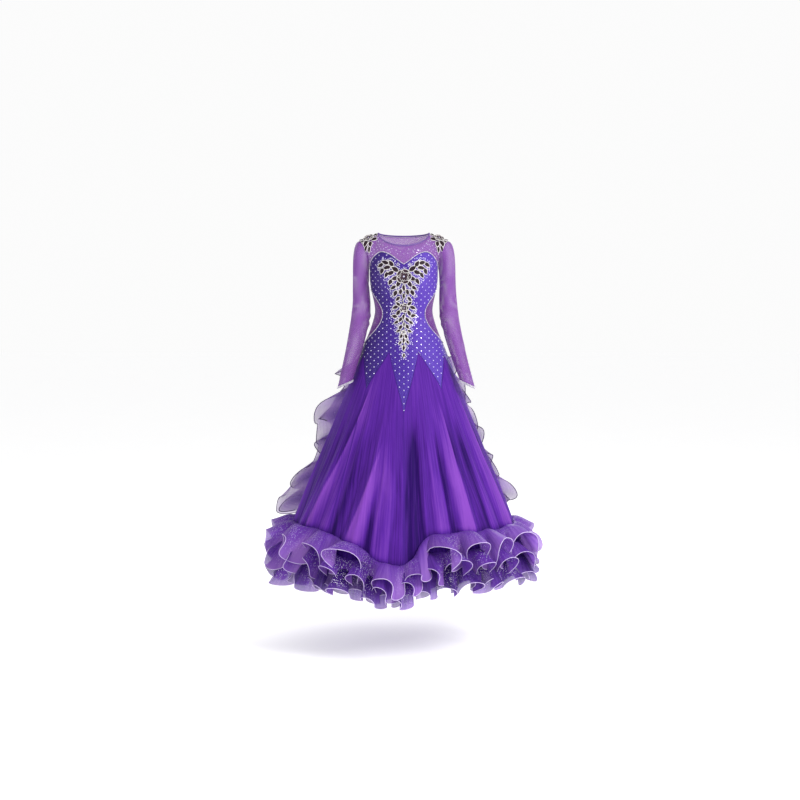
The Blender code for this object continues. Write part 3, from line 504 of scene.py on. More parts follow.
def crease_height(turn, z):
    """How far the skirt's creases stand out at a turn and height."""
    total = 0.0
    for start_turn, hem_turn, start, full, rise, spread in CREASES:
        grown = (start - z) / (start - full)
        if grown <= 0:
            continue
        centre = start_turn + (hem_turn - start_turn) * (FOLD_START - z) / (FOLD_START - FOLD_FULL)
        away = (turn - centre + 180.0) % 360.0 - 180.0
        if abs(away) < 3 * spread:
            total += rise * ease(grown) * math.exp(-(away / spread) ** 2)
    return total


def ridge_share(turn, z):
    """0 to 1 on the skirt's sharp ridges, which stand out a little and carry a painted highlight line."""
    found = 0.0
    for start_turn, hem_turn, start, _ in RIDGE_LINES:
        if z < start:
            centre = start_turn + (hem_turn - start_turn) * (FOLD_START - z) / (FOLD_START - FOLD_FULL)
            away = (turn - centre + 180.0) % 360.0 - 180.0
            found = max(found, math.exp(-(away / RIDGE_SPREAD) ** 2) * ease((start - z) / 0.12))
    return found


def painted_fold_shading(turn, z):
    """Painted light and shade of the skirt: how much paler it is painted on the broad face beside its sharp
    ridges, and how much darker behind them and in its valleys.
    """
    tone = 0.0
    for start_turn, hem_turn, start, side in RIDGE_LINES:
        grown = ease((start - z) / 0.20)
        if grown > 0:
            centre = start_turn + (hem_turn - start_turn) * (FOLD_START - z) / (FOLD_START - FOLD_FULL)
            away = ((turn - centre + 180.0) % 360.0 - 180.0) * side
            if away > 0:
                tone += 0.30 * grown * math.exp(-(away / PAINTED_HIGHLIGHT_REACH) ** 2)
            else:
                tone -= 0.34 * grown * math.exp(-(away / PAINTED_SHADE_REACH) ** 2)
    for start_turn, hem_turn, start, spread in VALLEY_LINES:
        grown = ease((start - z) / 0.22)
        if grown > 0:
            centre = start_turn + (hem_turn - start_turn) * (FOLD_START - z) / (FOLD_START - FOLD_FULL)
            away = (turn - centre + 180.0) % 360.0 - 180.0
            tone -= 0.50 * grown * math.exp(-(away / spread) ** 2)
    return tone


def skirt_point(turn, z, out=0.0):
    """Point of the creased skirt."""
    return body_point(turn, z, crease_height(turn, z) + RIDGE_RISE * ridge_share(turn, z) + out)


def bodice_line_height(column_turn, row):
    """Height of the fine bodice grid at a column's turn and a row of the CAD grid."""
    top = bodice_top(column_turn) - SEAM_GAP / 2
    if row <= LEVEL_ROW:
        return top + (LEVEL_HEIGHT - top) * row / LEVEL_ROW
    foot = gore_curve(column_turn) + GORE_SEAM_DROP
    return LEVEL_HEIGHT + (foot - LEVEL_HEIGHT) * (row - LEVEL_ROW) / (BODICE_ROWS - LEVEL_ROW)


def lens_share(row):
    """Opening of the waist insert at a bodice row, 0 at its tips and 1 at its middle."""
    share = (row - INSERT_FIRST_ROW) / (INSERT_LAST_ROW - INSERT_FIRST_ROW)
    return math.sin(math.pi * share) if 0 < share < 1 else 0.0


def side_edge(row, towards_front):
    """Turn of a bodice panel's side edge at a row, left by the waist insert."""
    if towards_front:
        return 90.0 - INSERT_FRONT_TURN * lens_share(row)
    return 90.0 + INSERT_BACK_TURN * lens_share(row)


def front_place(column_turn, row):
    """Front columns draw in evenly as the side edge does."""
    return column_turn * side_edge(row, True) / 90.0


def back_place(column_turn, row):
    """Back columns draw in towards the centre back as the side edge does."""
    drawn_in = (180.0 - side_edge(row, False)) / 90.0
    return 180.0 + (column_turn - 180.0) * drawn_in


def new_object(name, vertices, faces, material, smooth=True):
    """Mesh object from points and faces."""
    mesh = bpy.data.meshes.new(name)
    mesh.from_pydata([tuple(point) for point in vertices], [], faces)
    mesh.materials.append(material)
    if smooth:
        mesh.shade_smooth()
    piece = bpy.data.objects.new(name, mesh)
    bpy.context.scene.collection.objects.link(piece)
    return piece


def add(piece, slot, *nodes):
    """Ties a piece to the body and hides the CAD nodes that it stands for; its finish, the slot, is not
    used.
    """
    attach(piece, "root")
    if nodes:
        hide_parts(*nodes)
    return piece


def cloth(name, rows, material, closed=False, fields=None):
    """Sheet of quads with its grain in metres as a UV map, and named values at its points."""
    count = len(rows[0])
    spans = count if closed else count - 1
    middle = 0 if closed else (count - 1) // 2
    faces, grain = [], []
    across = []
    for row in rows:
        run = [0.0]
        for c in range(spans):
            run.append(run[-1] + (row[(c + 1) % count] - row[c]).length)
        across.append([distance - run[middle] for distance in run])
    if closed:
        across = [across[len(rows) // 2]] * len(rows)
    down = [0.0]
    for upper, lower in zip(rows, rows[1:]):
        down.append(down[-1] + (lower[middle] - upper[middle]).length)
    for r in range(len(rows) - 1):
        for c in range(spans):
            d = (c + 1) % count
            faces.append((r * count + c, (r + 1) * count + c, (r + 1) * count + d, r * count + d))
            grain += (across[r][c], down[r], across[r + 1][c], down[r + 1],
                      across[r + 1][c + 1], down[r + 1], across[r][c + 1], down[r])
    piece = new_object(name, [point for row in rows for point in row], faces, material)
    piece.data.uv_layers.new(name="grain").data.foreach_set("uv", grain)
    for field, grid in (fields or {}).items():
        values = [value for row in grid for value in row]
        piece.data.attributes.new(field, "FLOAT", "POINT").data.foreach_set("value", values)
    return piece


BEAD_AXES = [Vector(axis) for axis in ((1, 0, 0), (0, 1, 0), (-1, 0, 0), (0, -1, 0), (0, 0, 1), (0, 0, -1))]
BEAD_EIGHTHS = ((0, 1, 4), (1, 2, 4), (2, 3, 4), (3, 0, 4), (1, 0, 5), (2, 1, 5), (3, 2, 5), (0, 3, 5))


class Gathered:
    """Many small shapes for one joined mesh."""

    def __init__(self):
        self.vertices = []
        self.faces = []

    def add(self, vertices, faces):
        """Adds one shape."""
        base = len(self.vertices)
        self.vertices += vertices
        self.faces += [tuple(base + k for k in face) for face in faces]

    def bead(self, centre, radius):
        """Round bead of 32 triangles."""
        vertices = [centre + axis * radius for axis in BEAD_AXES]
        faces, middles = [], {}
        for corners in BEAD_EIGHTHS:
            halves = []
            for a, b in zip(corners, corners[1:] + corners[:1]):
                key = (min(a, b), max(a, b))
                if key not in middles:
                    middles[key] = len(vertices)
                    vertices.append(centre + (BEAD_AXES[a] + BEAD_AXES[b]).normalized() * radius)
                halves.append(middles[key])
            a, b, c = corners
            p, q, r = halves
            faces += [(a, p, r), (p, b, q), (r, q, c), (p, q, r)]
        self.add(vertices, faces)

    def stone(self, centre, normal, radius, spin=0.0):
        """Cut stone: an eight-sided girdle, sloping facets and a flat table."""
        side = normal.orthogonal().normalized()
        other = normal.cross(side)
        vertices = []
        for share, height in ((1.0, 0.10), (0.58, 0.62)):
            for k in range(8):
                angle = math.radians(45 * k + spin + (22.5 if height > 0.5 else 0.0))
                arm = side * math.cos(angle) + other * math.sin(angle)
                vertices.append(centre + arm * radius * share + normal * radius * height)
        faces = [tuple(range(8, 16))]
        for k in range(8):
            m = (k + 1) % 8
            faces += [(k, m, 8 + k), (m, 8 + m, 8 + k)]
        self.add(vertices, faces)

    def tube(self, path, radius, sides=6, closed=False):
        """Round cord along a path."""
        count = len(path)
        lean = None
        vertices, faces = [], []
        for i, point in enumerate(path):
            if closed:
                tangent = (path[(i + 1) % count] - path[i - 1]).normalized()
            else:
                tangent = (path[min(i + 1, count - 1)] - path[max(i - 1, 0)]).normalized()
            lean = tangent.orthogonal() if lean is None else lean - tangent * lean.dot(tangent)
            lean.normalize()
            other = tangent.cross(lean)
            for k in range(sides):
                angle = 2 * math.pi * k / sides
                vertices.append(point + lean * radius * math.cos(angle)
                                + other * radius * math.sin(angle))
        for i in range(count if closed else count - 1):
            m = (i + 1) % count
            for k in range(sides):
                n = (k + 1) % sides
                faces.append((i * sides + k, i * sides + n, m * sides + n, m * sides + k))
        if not closed:
            faces += [tuple(range(sides))[::-1], tuple((count - 1) * sides + k for k in range(sides))]
        self.add(vertices, faces)

    def make(self, name, material, smooth=True):
        """The joined object."""
        return new_object(name, self.vertices, self.faces, material, smooth)


def along_path(path, spacing, closed=False):
    """Points at an even spacing along a path."""
    points = list(path) + ([path[0]] if closed else [])
    total = sum((b - a).length for a, b in zip(points, points[1:]))
    count = max(round(total / spacing), 1)
    step = total / count
    found, place, walked = [], 0, 0.0
    for k in range(count if closed else count + 1):
        target = min(step * k, total - 1e-9)
        while walked + (points[place + 1] - points[place]).length < target:
            walked += (points[place + 1] - points[place]).length
            place += 1
        span = (points[place + 1] - points[place]).length
        found.append(points[place].lerp(points[place + 1], (target - walked) / span if span else 0.0))
    return found


def front_turn(x, z):
    """Turn of the place on the body's front at a distance from the centre and a height."""
    low, high = -85.0, 85.0
    for _ in range(22):
        middle = (low + high) / 2
        if body_point(middle, z).x < x:
            low = middle
        else:
            high = middle
    return (low + high) / 2


def start_material(name):
    """Empty node material and its tree."""
    material = bpy.data.materials.new(name)
    material.use_nodes = True
    material.node_tree.nodes.clear()
    return material, material.node_tree


def node(tree, kind, sockets=None, **settings):
    """Shader node with its settings and sockets filled in."""
    made = tree.nodes.new("ShaderNode" + kind)
    for key, value in settings.items():
        setattr(made, key, value)
    for key, value in (sockets or {}).items():
        if isinstance(value, bpy.types.NodeSocket):
            tree.links.new(value, made.inputs[key])
        else:
            made.inputs[key].default_value = value
    return made


def maths(tree, operation, first, second=0.5, third=0.5):
    """Result of a Math node."""
    return node(tree, "Math", {0: first, 1: second, 2: third}, operation=operation).outputs[0]


def mixed(tree, share, first, second, blend="MIX"):
    """Colour mixed from two."""
    made = node(tree, "Mix", {0: share, 6: first, 7: second}, data_type="RGBA", blend_type=blend)
    return made.outputs[2]


def field(tree, name):
    """Value stored at a piece's points."""
    return node(tree, "Attribute", attribute_name=name).outputs["Fac"]


def grain_parts(tree):
    """Grain map and its two distances, in metres."""
    grain = node(tree, "UVMap", uv_map="grain").outputs[0]
    parts = node(tree, "SeparateXYZ", {0: grain})
    return grain, parts.outputs[0], parts.outputs[1]


def weave_height(tree, period):
    """Height of a plain weave or net, -1 to 1."""
    _, across, along = grain_parts(tree)
    turns = 2 * math.pi / period
    waves = [maths(tree, "SINE", maths(tree, "MULTIPLY", way, turns)) for way in (across, along)]
    return maths(tree, "MULTIPLY", waves[0], waves[1])


def stretched_noise(tree, across, along, detail=2.0):
    """Noise drawn out along the grain."""
    grain, _, _ = grain_parts(tree)
    scaled = node(tree, "Mapping", {"Vector": grain, "Scale": (across, along, 1.0)}).outputs[0]
    return node(tree, "TexNoise", {"Vector": scaled, "Scale": 1.0, "Detail": detail}).outputs[0]


def sparkle_mask(tree, scale, share):
    """1 on the few scattered cells that are glitter, and the cells' own random colours."""
    grain, _, _ = grain_parts(tree)
    cells = node(tree, "TexVoronoi", {"Vector": grain, "Scale": scale}, feature="F1")
    drawn = node(tree, "SeparateColor", {0: cells.outputs["Color"]}).outputs[0]
    chosen = maths(tree, "GREATER_THAN", drawn, 1.0 - share)
    near = maths(tree, "LESS_THAN", cells.outputs["Distance"], 0.34)
    return maths(tree, "MULTIPLY", chosen, near), cells.outputs["Color"]


def ramp(tree, share, colours):
    """Colour ramp through evenly spaced colours."""
    made = node(tree, "ValToRGB", {0: share})
    elements = made.color_ramp.elements
    while len(elements) < len(colours):
        elements.new(0.5)
    for k, colour in enumerate(colours):
        elements[k].position = k / (len(colours) - 1)
        elements[k].color = (*colour, 1.0)
    return made.outputs[0]


def close_material(tree, shader):
    """Joins a shader to the material's surface."""
    node(tree, "OutputMaterial", {"Surface": shader})


def organza(name, colours, settings):
    """Crisp woven organza: painted shade in its valleys and painted highlights on its ridges, fine streaks
    of painted light and shade along its grain, glowing where light comes through.
    """
    material, tree = start_material(name)
    streak_shade = stretched_noise(tree, 150.0, 4.0, 3.0)
    cloudy = stretched_noise(tree, 11.0, 5.0, 3.0)
    # Painted light and shade: the shade field and the fine streaks move the colour along the ramp from dark
    # to light.
    tone = maths(tree, "MULTIPLY_ADD", maths(tree, "SUBTRACT", streak_shade, 0.5), settings["streak_shade"],
                 field(tree, "shade"))
    tone = maths(tree, "MULTIPLY_ADD", maths(tree, "SUBTRACT", cloudy, 0.5), 0.45, tone)
    base = ramp(tree, tone, colours)
    glitter, tilt = sparkle_mask(tree, settings["glitter_scale"], settings["glitter_share"])
    glitter = maths(tree, "MULTIPLY", glitter, field(tree, "glitter"))
    base = mixed(tree, glitter, base, (0.95, 0.90, 1.0, 1.0))
    stitched = field(tree, "seam")
    base = mixed(tree, stitched, base, settings["seam_colour"])
    weave = node(tree, "Bump", {"Strength": 0.25, "Distance": 0.0002, "Height": weave_height(tree, 0.0013)})
    crumple = node(tree, "Bump", {"Strength": 0.55, "Distance": 0.0016, "Height": streak_shade,
                                  "Normal": weave.outputs[0]})
    tilted = node(tree, "VectorMath", {0: tilt, 1: (0.5, 0.5, 0.5)}, operation="SUBTRACT").outputs[0]
    tilted = node(tree, "VectorMath", {0: tilted, "Scale": glitter}, operation="SCALE").outputs[0]
    normal = node(tree, "VectorMath", {0: crumple.outputs[0], 1: tilted}, operation="ADD").outputs[0]
    normal = node(tree, "VectorMath", {0: normal}, operation="NORMALIZE").outputs[0]
    shine = maths(tree, "MULTIPLY_ADD", glitter, -0.25, settings["roughness"])
    front = node(tree, "BsdfPrincipled", {
        "Base Color": base, "Roughness": shine, "Normal": normal, "Sheen Weight": settings["sheen"],
        "Sheen Tint": settings["sheen_tint"], "Specular IOR Level": settings["gloss"],
        "Specular Tint": (0.72, 0.50, 1.0, 1.0)}).outputs[0]
    through = node(tree, "BsdfTranslucent", {"Color": base, "Normal": normal}).outputs[0]
    shader = node(tree, "MixShader", {0: settings["glow"], 1: front, 2: through}).outputs[0]
    open_share = maths(tree, "MULTIPLY", field(tree, "sheer"), settings["clear"])
    open_share = maths(tree, "MULTIPLY", open_share, maths(tree, "SUBTRACT", 1.0, glitter))
    gap = node(tree, "BsdfTransparent").outputs[0]
    close_material(tree, node(tree, "MixShader", {0: open_share, 1: shader, 2: gap}).outputs[0])
    return material


def stretch_mesh(name, colour, pale, openness):
    """Sheer knitted mesh with rows of small holes, darkened with painted shade where its shade field is
    high.
    """
    material, tree = start_material(name)
    cloudy = stretched_noise(tree, 7.0, 5.0, 2.0)
    base = mixed(tree, maths(tree, "MULTIPLY", cloudy, 0.6), colour, pale)
    # Painted shade: the shade field mixes in a dark purple.
    base = mixed(tree, field(tree, "shade"), base, (0.16, 0.035, 0.26, 1.0))
    base = mixed(tree, field(tree, "seam"), base, (0.14, 0.04, 0.26, 1.0))
    net = weave_height(tree, 0.0019)
    holes = node(tree, "MapRange", {"Value": net, "From Min": 0.10, "From Max": 0.45, "To Min": 0.0,
                                    "To Max": openness}).outputs[0]
    bump = node(tree, "Bump", {"Strength": 0.3, "Distance": 0.0003, "Height": net}).outputs[0]
    front = node(tree, "BsdfPrincipled", {
        "Base Color": base, "Roughness": 0.55, "Normal": bump, "Sheen Weight": 0.20,
        "Sheen Tint": (0.85, 0.60, 1.0, 1.0), "Specular IOR Level": 0.3}).outputs[0]
    through = node(tree, "BsdfTranslucent", {"Color": base}).outputs[0]
    shader = node(tree, "MixShader", {0: 0.35, 1: front, 2: through}).outputs[0]
    gap = node(tree, "BsdfTransparent").outputs[0]
    closed = maths(tree, "SUBTRACT", 1.0, field(tree, "seam"))
    holes = maths(tree, "MULTIPLY", holes, closed)
    close_material(tree, node(tree, "MixShader", {0: holes, 1: shader, 2: gap}).outputs[0])
    return material


def bodice_satin():
    """Stretch satin under fine glitter net, with painted light and shade from its shade field: darker on the
    -X side, lighter on the +X side.
    """
    material, tree = start_material("look_bodice_satin")
    # Painted light and shade: the shade field runs the colour from dark to light.
    base = ramp(tree, field(tree, "shade"),
                ((0.014, 0.005, 0.080), (0.058, 0.022, 0.27), (0.125, 0.062, 0.46)))
    cloudy = stretched_noise(tree, 26.0, 12.0, 4.0)
    base = mixed(tree, 0.25, base, ramp(tree, cloudy, ((0.28,) * 3, (0.80,) * 3)), "OVERLAY")
    glitter, tilt = sparkle_mask(tree, 520.0, 0.12)
    base = mixed(tree, glitter, base, (0.30, 0.22, 0.75, 1.0))
    base = mixed(tree, field(tree, "seam"), base, (0.03, 0.012, 0.14, 1.0))
    weave = node(tree, "Bump", {"Strength": 0.3, "Distance": 0.0003, "Height": weave_height(tree, 0.0016)})
    soft = node(tree, "Bump", {"Strength": 0.35, "Distance": 0.0012, "Height": cloudy,
                               "Normal": weave.outputs[0]})
    tilted = node(tree, "VectorMath", {0: tilt, 1: (0.5, 0.5, 0.5)}, operation="SUBTRACT").outputs[0]
    tilted = node(tree, "VectorMath", {0: tilted, "Scale": glitter}, operation="SCALE").outputs[0]
    normal = node(tree, "VectorMath", {0: soft.outputs[0], 1: tilted}, operation="ADD").outputs[0]
    normal = node(tree, "VectorMath", {0: normal}, operation="NORMALIZE").outputs[0]
    shader = node(tree, "BsdfPrincipled", {
        "Base Color": base, "Roughness": maths(tree, "MULTIPLY_ADD", glitter, -0.2, 0.38),
        "Normal": normal, "Sheen Weight": 0.12, "Sheen Tint": (0.5, 0.4, 1.0, 1.0),
        "Specular IOR Level": 0.25, "Specular Tint": (0.65, 0.55, 1.0, 1.0)}).outputs[0]
    close_material(tree, shader)
    return material


def bright_trim(name, colour, metallic, roughness, glow):
    """Stones and beads, each a little different in tone, with a painted glow from a weak emission."""
    material, tree = start_material(name)
    place = node(tree, "TexCoord").outputs["Object"]
    tone = node(tree, "TexVoronoi", {"Vector": place, "Scale": 260.0}).outputs["Color"]
    tone = node(tree, "SeparateColor", {0: tone}).outputs[0]
    base = mixed(tree, tone, (*[c * 0.62 for c in colour], 1.0), (*colour, 1.0))
    dull = maths(tree, "MULTIPLY_ADD", tone, 0.12, roughness)
    # Painted glow: a weak emission of its own colour makes it shine though it is no lamp.
    shader = node(tree, "BsdfPrincipled", {
        "Base Color": base, "Metallic": metallic, "Roughness": dull, "Coat Weight": 0.6,
        "Coat Roughness": 0.05, "Emission Color": (*colour, 1.0), "Emission Strength": glow}).outputs[0]
    close_material(tree, shader)
    return material


def thread_cloth(name, dark, pale, across, roughness):
    """Satin-stitched or corded cloth: fine parallel threads across its grain."""
    material, tree = start_material(name)
    place = node(tree, "TexCoord").outputs["Object"]
    threads = node(tree, "TexWave", {"Vector": place, "Scale": across, "Distortion": 2.5,
                                     "Detail": 1.0}, bands_direction="DIAGONAL").outputs[1]
    cloudy = node(tree, "TexNoise", {"Vector": place, "Scale": 60.0, "Detail": 3.0}).outputs[0]
    base = mixed(tree, cloudy, (*dark, 1.0), (*pale, 1.0))
    base = mixed(tree, maths(tree, "MULTIPLY", threads, 0.35), base, (*pale, 1.0))
    bump = node(tree, "Bump", {"Strength": 0.5, "Distance": 0.0004, "Height": threads}).outputs[0]
    shader = node(tree, "BsdfPrincipled", {
        "Base Color": base, "Roughness": roughness, "Normal": bump, "Sheen Weight": 0.06,
        "Sheen Tint": (0.8, 0.7, 0.95, 1.0), "Specular IOR Level": 0.25}).outputs[0]
    close_material(tree, shader)
    return material


SKIRT_LOOK = {"streak_shade": 0.80, "glitter_scale": 300.0, "glitter_share": 0.0, "roughness": 0.55,
              "gloss": 0.12, "sheen": 0.04, "sheen_tint": (0.50, 0.20, 1.0, 1.0), "glow": 0.20, "clear": 0.0,
              "seam_colour": (0.055, 0.012, 0.22, 1.0)}
RUFFLE_LOOK = {"streak_shade": 0.60, "glitter_scale": 260.0, "glitter_share": 0.50, "roughness": 0.42,
               "gloss": 0.30, "sheen": 0.10, "sheen_tint": (0.65, 0.40, 1.0, 1.0), "glow": 0.30,
               "clear": 0.20,
               "seam_colour": (0.10, 0.03, 0.32, 1.0)}
INNER_LOOK = {**RUFFLE_LOOK, "glitter_share": 0.70, "clear": 0.12}
CASCADE_LOOK = {**RUFFLE_LOOK, "glitter_share": 0.03, "clear": 0.34, "glow": 0.40, "streak_shade": 0.40,
                "seam_colour": (0.10, 0.05, 0.18, 1.0)}

SATIN = bodice_satin()
MESH = stretch_mesh("look_sheer_mesh", (0.27, 0.095, 0.43, 1.0), (0.36, 0.145, 0.50, 1.0), 0.70)
# The skirt's and ruffles' three colours run from painted shade through the middle tone to painted highlight.
SKIRT = organza("look_skirt_organza", ((0.020, 0.003, 0.10), (0.100, 0.020, 0.32), (0.225, 0.062, 0.46)),
                SKIRT_LOOK)
RUFFLE = organza("look_ruffle_organza", ((0.022, 0.004, 0.11), (0.145, 0.042, 0.40), (0.36, 0.17, 0.62)),
                 RUFFLE_LOOK)
INNER = organza("look_inner_ruffle", ((0.025, 0.010, 0.07), (0.13, 0.07, 0.26), (0.40, 0.33, 0.54)),
                INNER_LOOK)
CASCADE = organza("look_cascade_organza", ((0.14, 0.05, 0.36), (0.34, 0.20, 0.52), (0.58, 0.50, 0.64)),
                  CASCADE_LOOK)
# The last number of each bright trim is the strength of its painted glow.
STONE = bright_trim("look_rhinestone", (0.80, 0.75, 1.0), 0.25, 0.08, 0.16)
BEAD = bright_trim("look_silver_bead", (0.80, 0.76, 0.84), 0.45, 0.20, 0.10)
SILVER_CORD = bright_trim("look_silver_cord", (0.84, 0.80, 0.79), 0.20, 0.28, 0.10)
PALE_CORD = thread_cloth("look_pale_corded_edge", (0.44, 0.28, 0.68), (0.78, 0.66, 0.93), 900.0, 0.4)
DARK_CORD = thread_cloth("look_dark_corded_edge", (0.030, 0.010, 0.07), (0.12, 0.06, 0.20), 900.0, 0.5)
BINDING = thread_cloth("look_neck_binding", (0.07, 0.03, 0.18), (0.20, 0.10, 0.38), 700.0, 0.5)
LEAF = thread_cloth("look_dark_leaf", (0.004, 0.001, 0.004), (0.024, 0.005, 0.013), 700.0, 0.45)
PETAL = thread_cloth("look_rose_petal", (0.008, 0.003, 0.007), (0.055, 0.022, 0.040), 500.0, 0.5)

# Cutting: stretch cloth is cut smaller than worn, panels fuller than the plain cone at the hem,
# and the outer edge of a ring-cut flounce is this many times its sewn edge
STRETCH_CUT = 0.95
PANEL_FULLNESS = 1.15
CURVED_SHARE = 2.0 / 3.0
WAIST_HEIGHT = -0.277


def ellipse_round(half_width, half_depth):
    """Distance round an ellipse."""
    return 2.0 * math.pi * math.sqrt((half_width ** 2 + half_depth ** 2) / 2.0)


def half_round(z, front):
    """Half the distance round the plain figure, with no cups or folds, at its front or back."""
    half_width, front_depth, back_depth = read_table(SECTIONS, z)
    return ellipse_round(half_width, front_depth if front else back_depth) / 2.0


def slope_length(high, low):
    """Distance down the plain figure's side between two heights."""
    outward = read_table(SECTIONS, low)[0] - read_table(SECTIONS, high)[0]
    return math.hypot(high - low, outward)


def drafted(stations):
    """Length and area of a cut, from its widths at some heights."""
    length, area = 0.0, 0.0
    for (high, top_width), (low, low_width) in zip(stations, stations[1:]):
        step = slope_length(high, low)
        length += step
        area += step * (top_width + low_width) / 2.0
    return length, area


def insert_cut():
    """Lens at the side of the waist."""
    width = half_round(WAIST_HEIGHT, True) * (INSERT_FRONT_TURN + INSERT_BACK_TURN) / 180.0 * STRETCH_CUT
    top = bodice_line_height(90.0, INSERT_FIRST_ROW)
    foot = bodice_line_height(90.0, INSERT_LAST_ROW)
    length = slope_length(top, foot)
    return width, length, CURVED_SHARE * width * length


def bodice_cut(front):
    """Bodice front, or one of the two backs, with its points and the hollow for the inserts."""
    part = 1.0 if front else 0.5
    turns = range(0, 5) if front else range(4, 9)
    points = [GORE_HEIGHTS[k] for k in turns if k % 2 == 0]
    dips = [GORE_HEIGHTS[k] for k in turns if k % 2]
    tops = [z for turn, z in BODICE_TOP if (turn <= 90.0 if front else turn >= 90.0)]
    top, dip, foot = (sum(heights) / len(heights) for heights in (tops, dips, points))
    levels = (top, CUP_HEIGHT, WAIST_HEIGHT, LEVEL_HEIGHT, dip)
    stations = [(z, half_round(z, front) * part * STRETCH_CUT) for z in levels] + [(foot, 0.0)]
    length, area = drafted(stations)
    width = max(wide for _, wide in stations)
    _, _, lens_area = insert_cut()
    towards = INSERT_FRONT_TURN if front else INSERT_BACK_TURN
    hollow = lens_area * towards / (INSERT_FRONT_TURN + INSERT_BACK_TURN)
    return width, length + foot - min(points) + max(tops) - top, area - hollow * (2.0 if front else 1.0)


def panel_cut(panel):
    """Flared skirt panel with its godet top between two bodice points."""
    middle = abs((PANEL_TURN * (panel - 1.5) + 180.0) % 360.0 - 180.0)
    place = round(middle / HALF_GODET)
    shoulder = (GORE_HEIGHTS[place - 1] + GORE_HEIGHTS[place + 1]) / 2.0
    front = middle < 90.0
    hem = half_round(SKIRT_HEM, front) / 4.0 * PANEL_FULLNESS
    across = half_round(shoulder, front) / 4.0
    length, area = drafted([(GORE_HEIGHTS[place], 0.0), (shoulder, across), (SKIRT_HEM, hem)])
    return hem, length, area


def sleeve_cut(side):
    """Long sleeve with a bell-shaped cap and a pointed cuff."""
    column = 2 if side > 0 else 1
    length, area = 0.0, 0.0
    for upper, lower in zip(SLEEVE_RINGS, SLEEVE_RINGS[1:]):
        step = Vector((upper[0] - lower[0], upper[column] - lower[column], upper[3] - lower[3])).length
        wide = (ellipse_round(*upper[4:]) + ellipse_round(*lower[4:])) / 2.0
        length += step
        area += step * wide * STRETCH_CUT
    first, last = SLEEVE_RINGS[0], SLEEVE_RINGS[-1]
    cap = SHOULDER_TIP.z - first[0]
    width = ellipse_round(*first[4:]) * STRETCH_CUT
    area += CURVED_SHARE * width * cap + CUFF_SLANT * ellipse_round(*last[4:]) * STRETCH_CUT / 2.0
    return width, length + cap + CUFF_SLANT, area


def shade_of(turn, z):
    """Painted shade and highlight of the skirt: 0 in its valleys to 1 on its ridges, darker behind the upper
    ruffle.
    """
    raised = fold_height(turn, z) + crease_height(turn, z)
    grown = ease((FOLD_START - z) / (FOLD_START - FOLD_FULL) * 1.5)
    tone = 0.48 + (raised / 0.036 - 0.26) * grown + painted_fold_shading(turn, z) + 0.70 * ridge_share(turn, z)
    swing, _ = read_table(HEM_SWING, (turn + 180.0) % 360.0 - 180.0)
    # Painted shade on the skirt where the upper ruffle hangs over it.
    behind = ease((UPPER_RUFFLE_HEIGHT + swing + 0.022 - z) / 0.035)
    return min(max(tone, 0.0), 1.0) * (1.0 - 0.92 * behind)


def bodice_rows(first_turn, last_turn, place):
    """Fine points, shades and seams of a bodice panel."""
    columns = round((last_turn - first_turn) / BODICE_FINE_STEP)
    rows, shades, seams = [], [], []
    for line in range(BODICE_LINES + 1):
        row = BODICE_ROWS * line / BODICE_LINES
        points, tones, marks = [], [], []
        for c in range(columns + 1):
            column_turn = first_turn + BODICE_FINE_STEP * c
            z = bodice_line_height(column_turn, row)
            turn = place(column_turn, row)
            if c == 0:
                turn += turn_of(SEAM_GAP / 2, z)
            if c == columns:
                turn -= turn_of(SEAM_GAP / 2, z)
            points.append(body_point(turn, z, crease_height(turn, z)))
            wrapped = (turn + 180.0) % 360.0 - 180.0
            # Painted light: lighter towards the +X side, as if lit from there, and paler on the cups and
            # where the skirt folds start near the points.
            lit = 0.50 + 0.32 * math.sin(math.radians(wrapped))
            cups = cup_height(wrapped, z) / CUP_RISE
            low = fold_height(turn, z) / 0.02
            tones.append(min(max(lit + 0.20 * cups + 0.25 * low - 0.08, 0.0), 1.0))
            marks.append(1.0 if line in (0, BODICE_LINES) or c in (0, columns) else 0.0)
        rows.append(points)
        shades.append(tones)
        seams.append(marks)
    return rows, {"shade": shades, "seam": seams}


def build_bodice():
    """Bodice front and the two backs."""
    panels = {}
    for name, first, last, place in (("bodice_front", -90.0, 90.0, front_place),
                                     ("bodice_back_left", 90.0, 180.0, back_place),
                                     ("bodice_back_right", 180.0, 270.0, back_place)):
        rows, fields = bodice_rows(first, last, place)
        piece = cloth("look_" + name, rows, SATIN, fields=fields)
        add(piece, "bodice_satin", name)
        bodice_cut(name == "bodice_front")
        panels[name] = rows
    return panels


def lens_rows(side):
    """Fine points of a waist insert and its two edges."""
    lines, columns = 60, 16
    first_row = INSERT_FIRST_ROW + INSERT_TIP_SHARE
    last_row = INSERT_LAST_ROW - INSERT_TIP_SHARE
    rows = []
    for line in range(lines + 1):
        row = first_row + (last_row - first_row) * line / lines
        z = bodice_line_height(90.0, row)
        gap = turn_of(SEAM_GAP, z)
        front, back = side_edge(row, True) + gap, side_edge(row, False) - gap
        rows.append([body_point(side * (front + (back - front) * c / columns), z)
                     for c in range(columns + 1)])
    return rows


# Beads round a waist insert: distance out from the cloth, spacing, radius
INSERT_BEAD_OUT = 0.0012
INSERT_BEAD_STEP = 0.0032
INSERT_BEAD_RADIUS = 0.00155


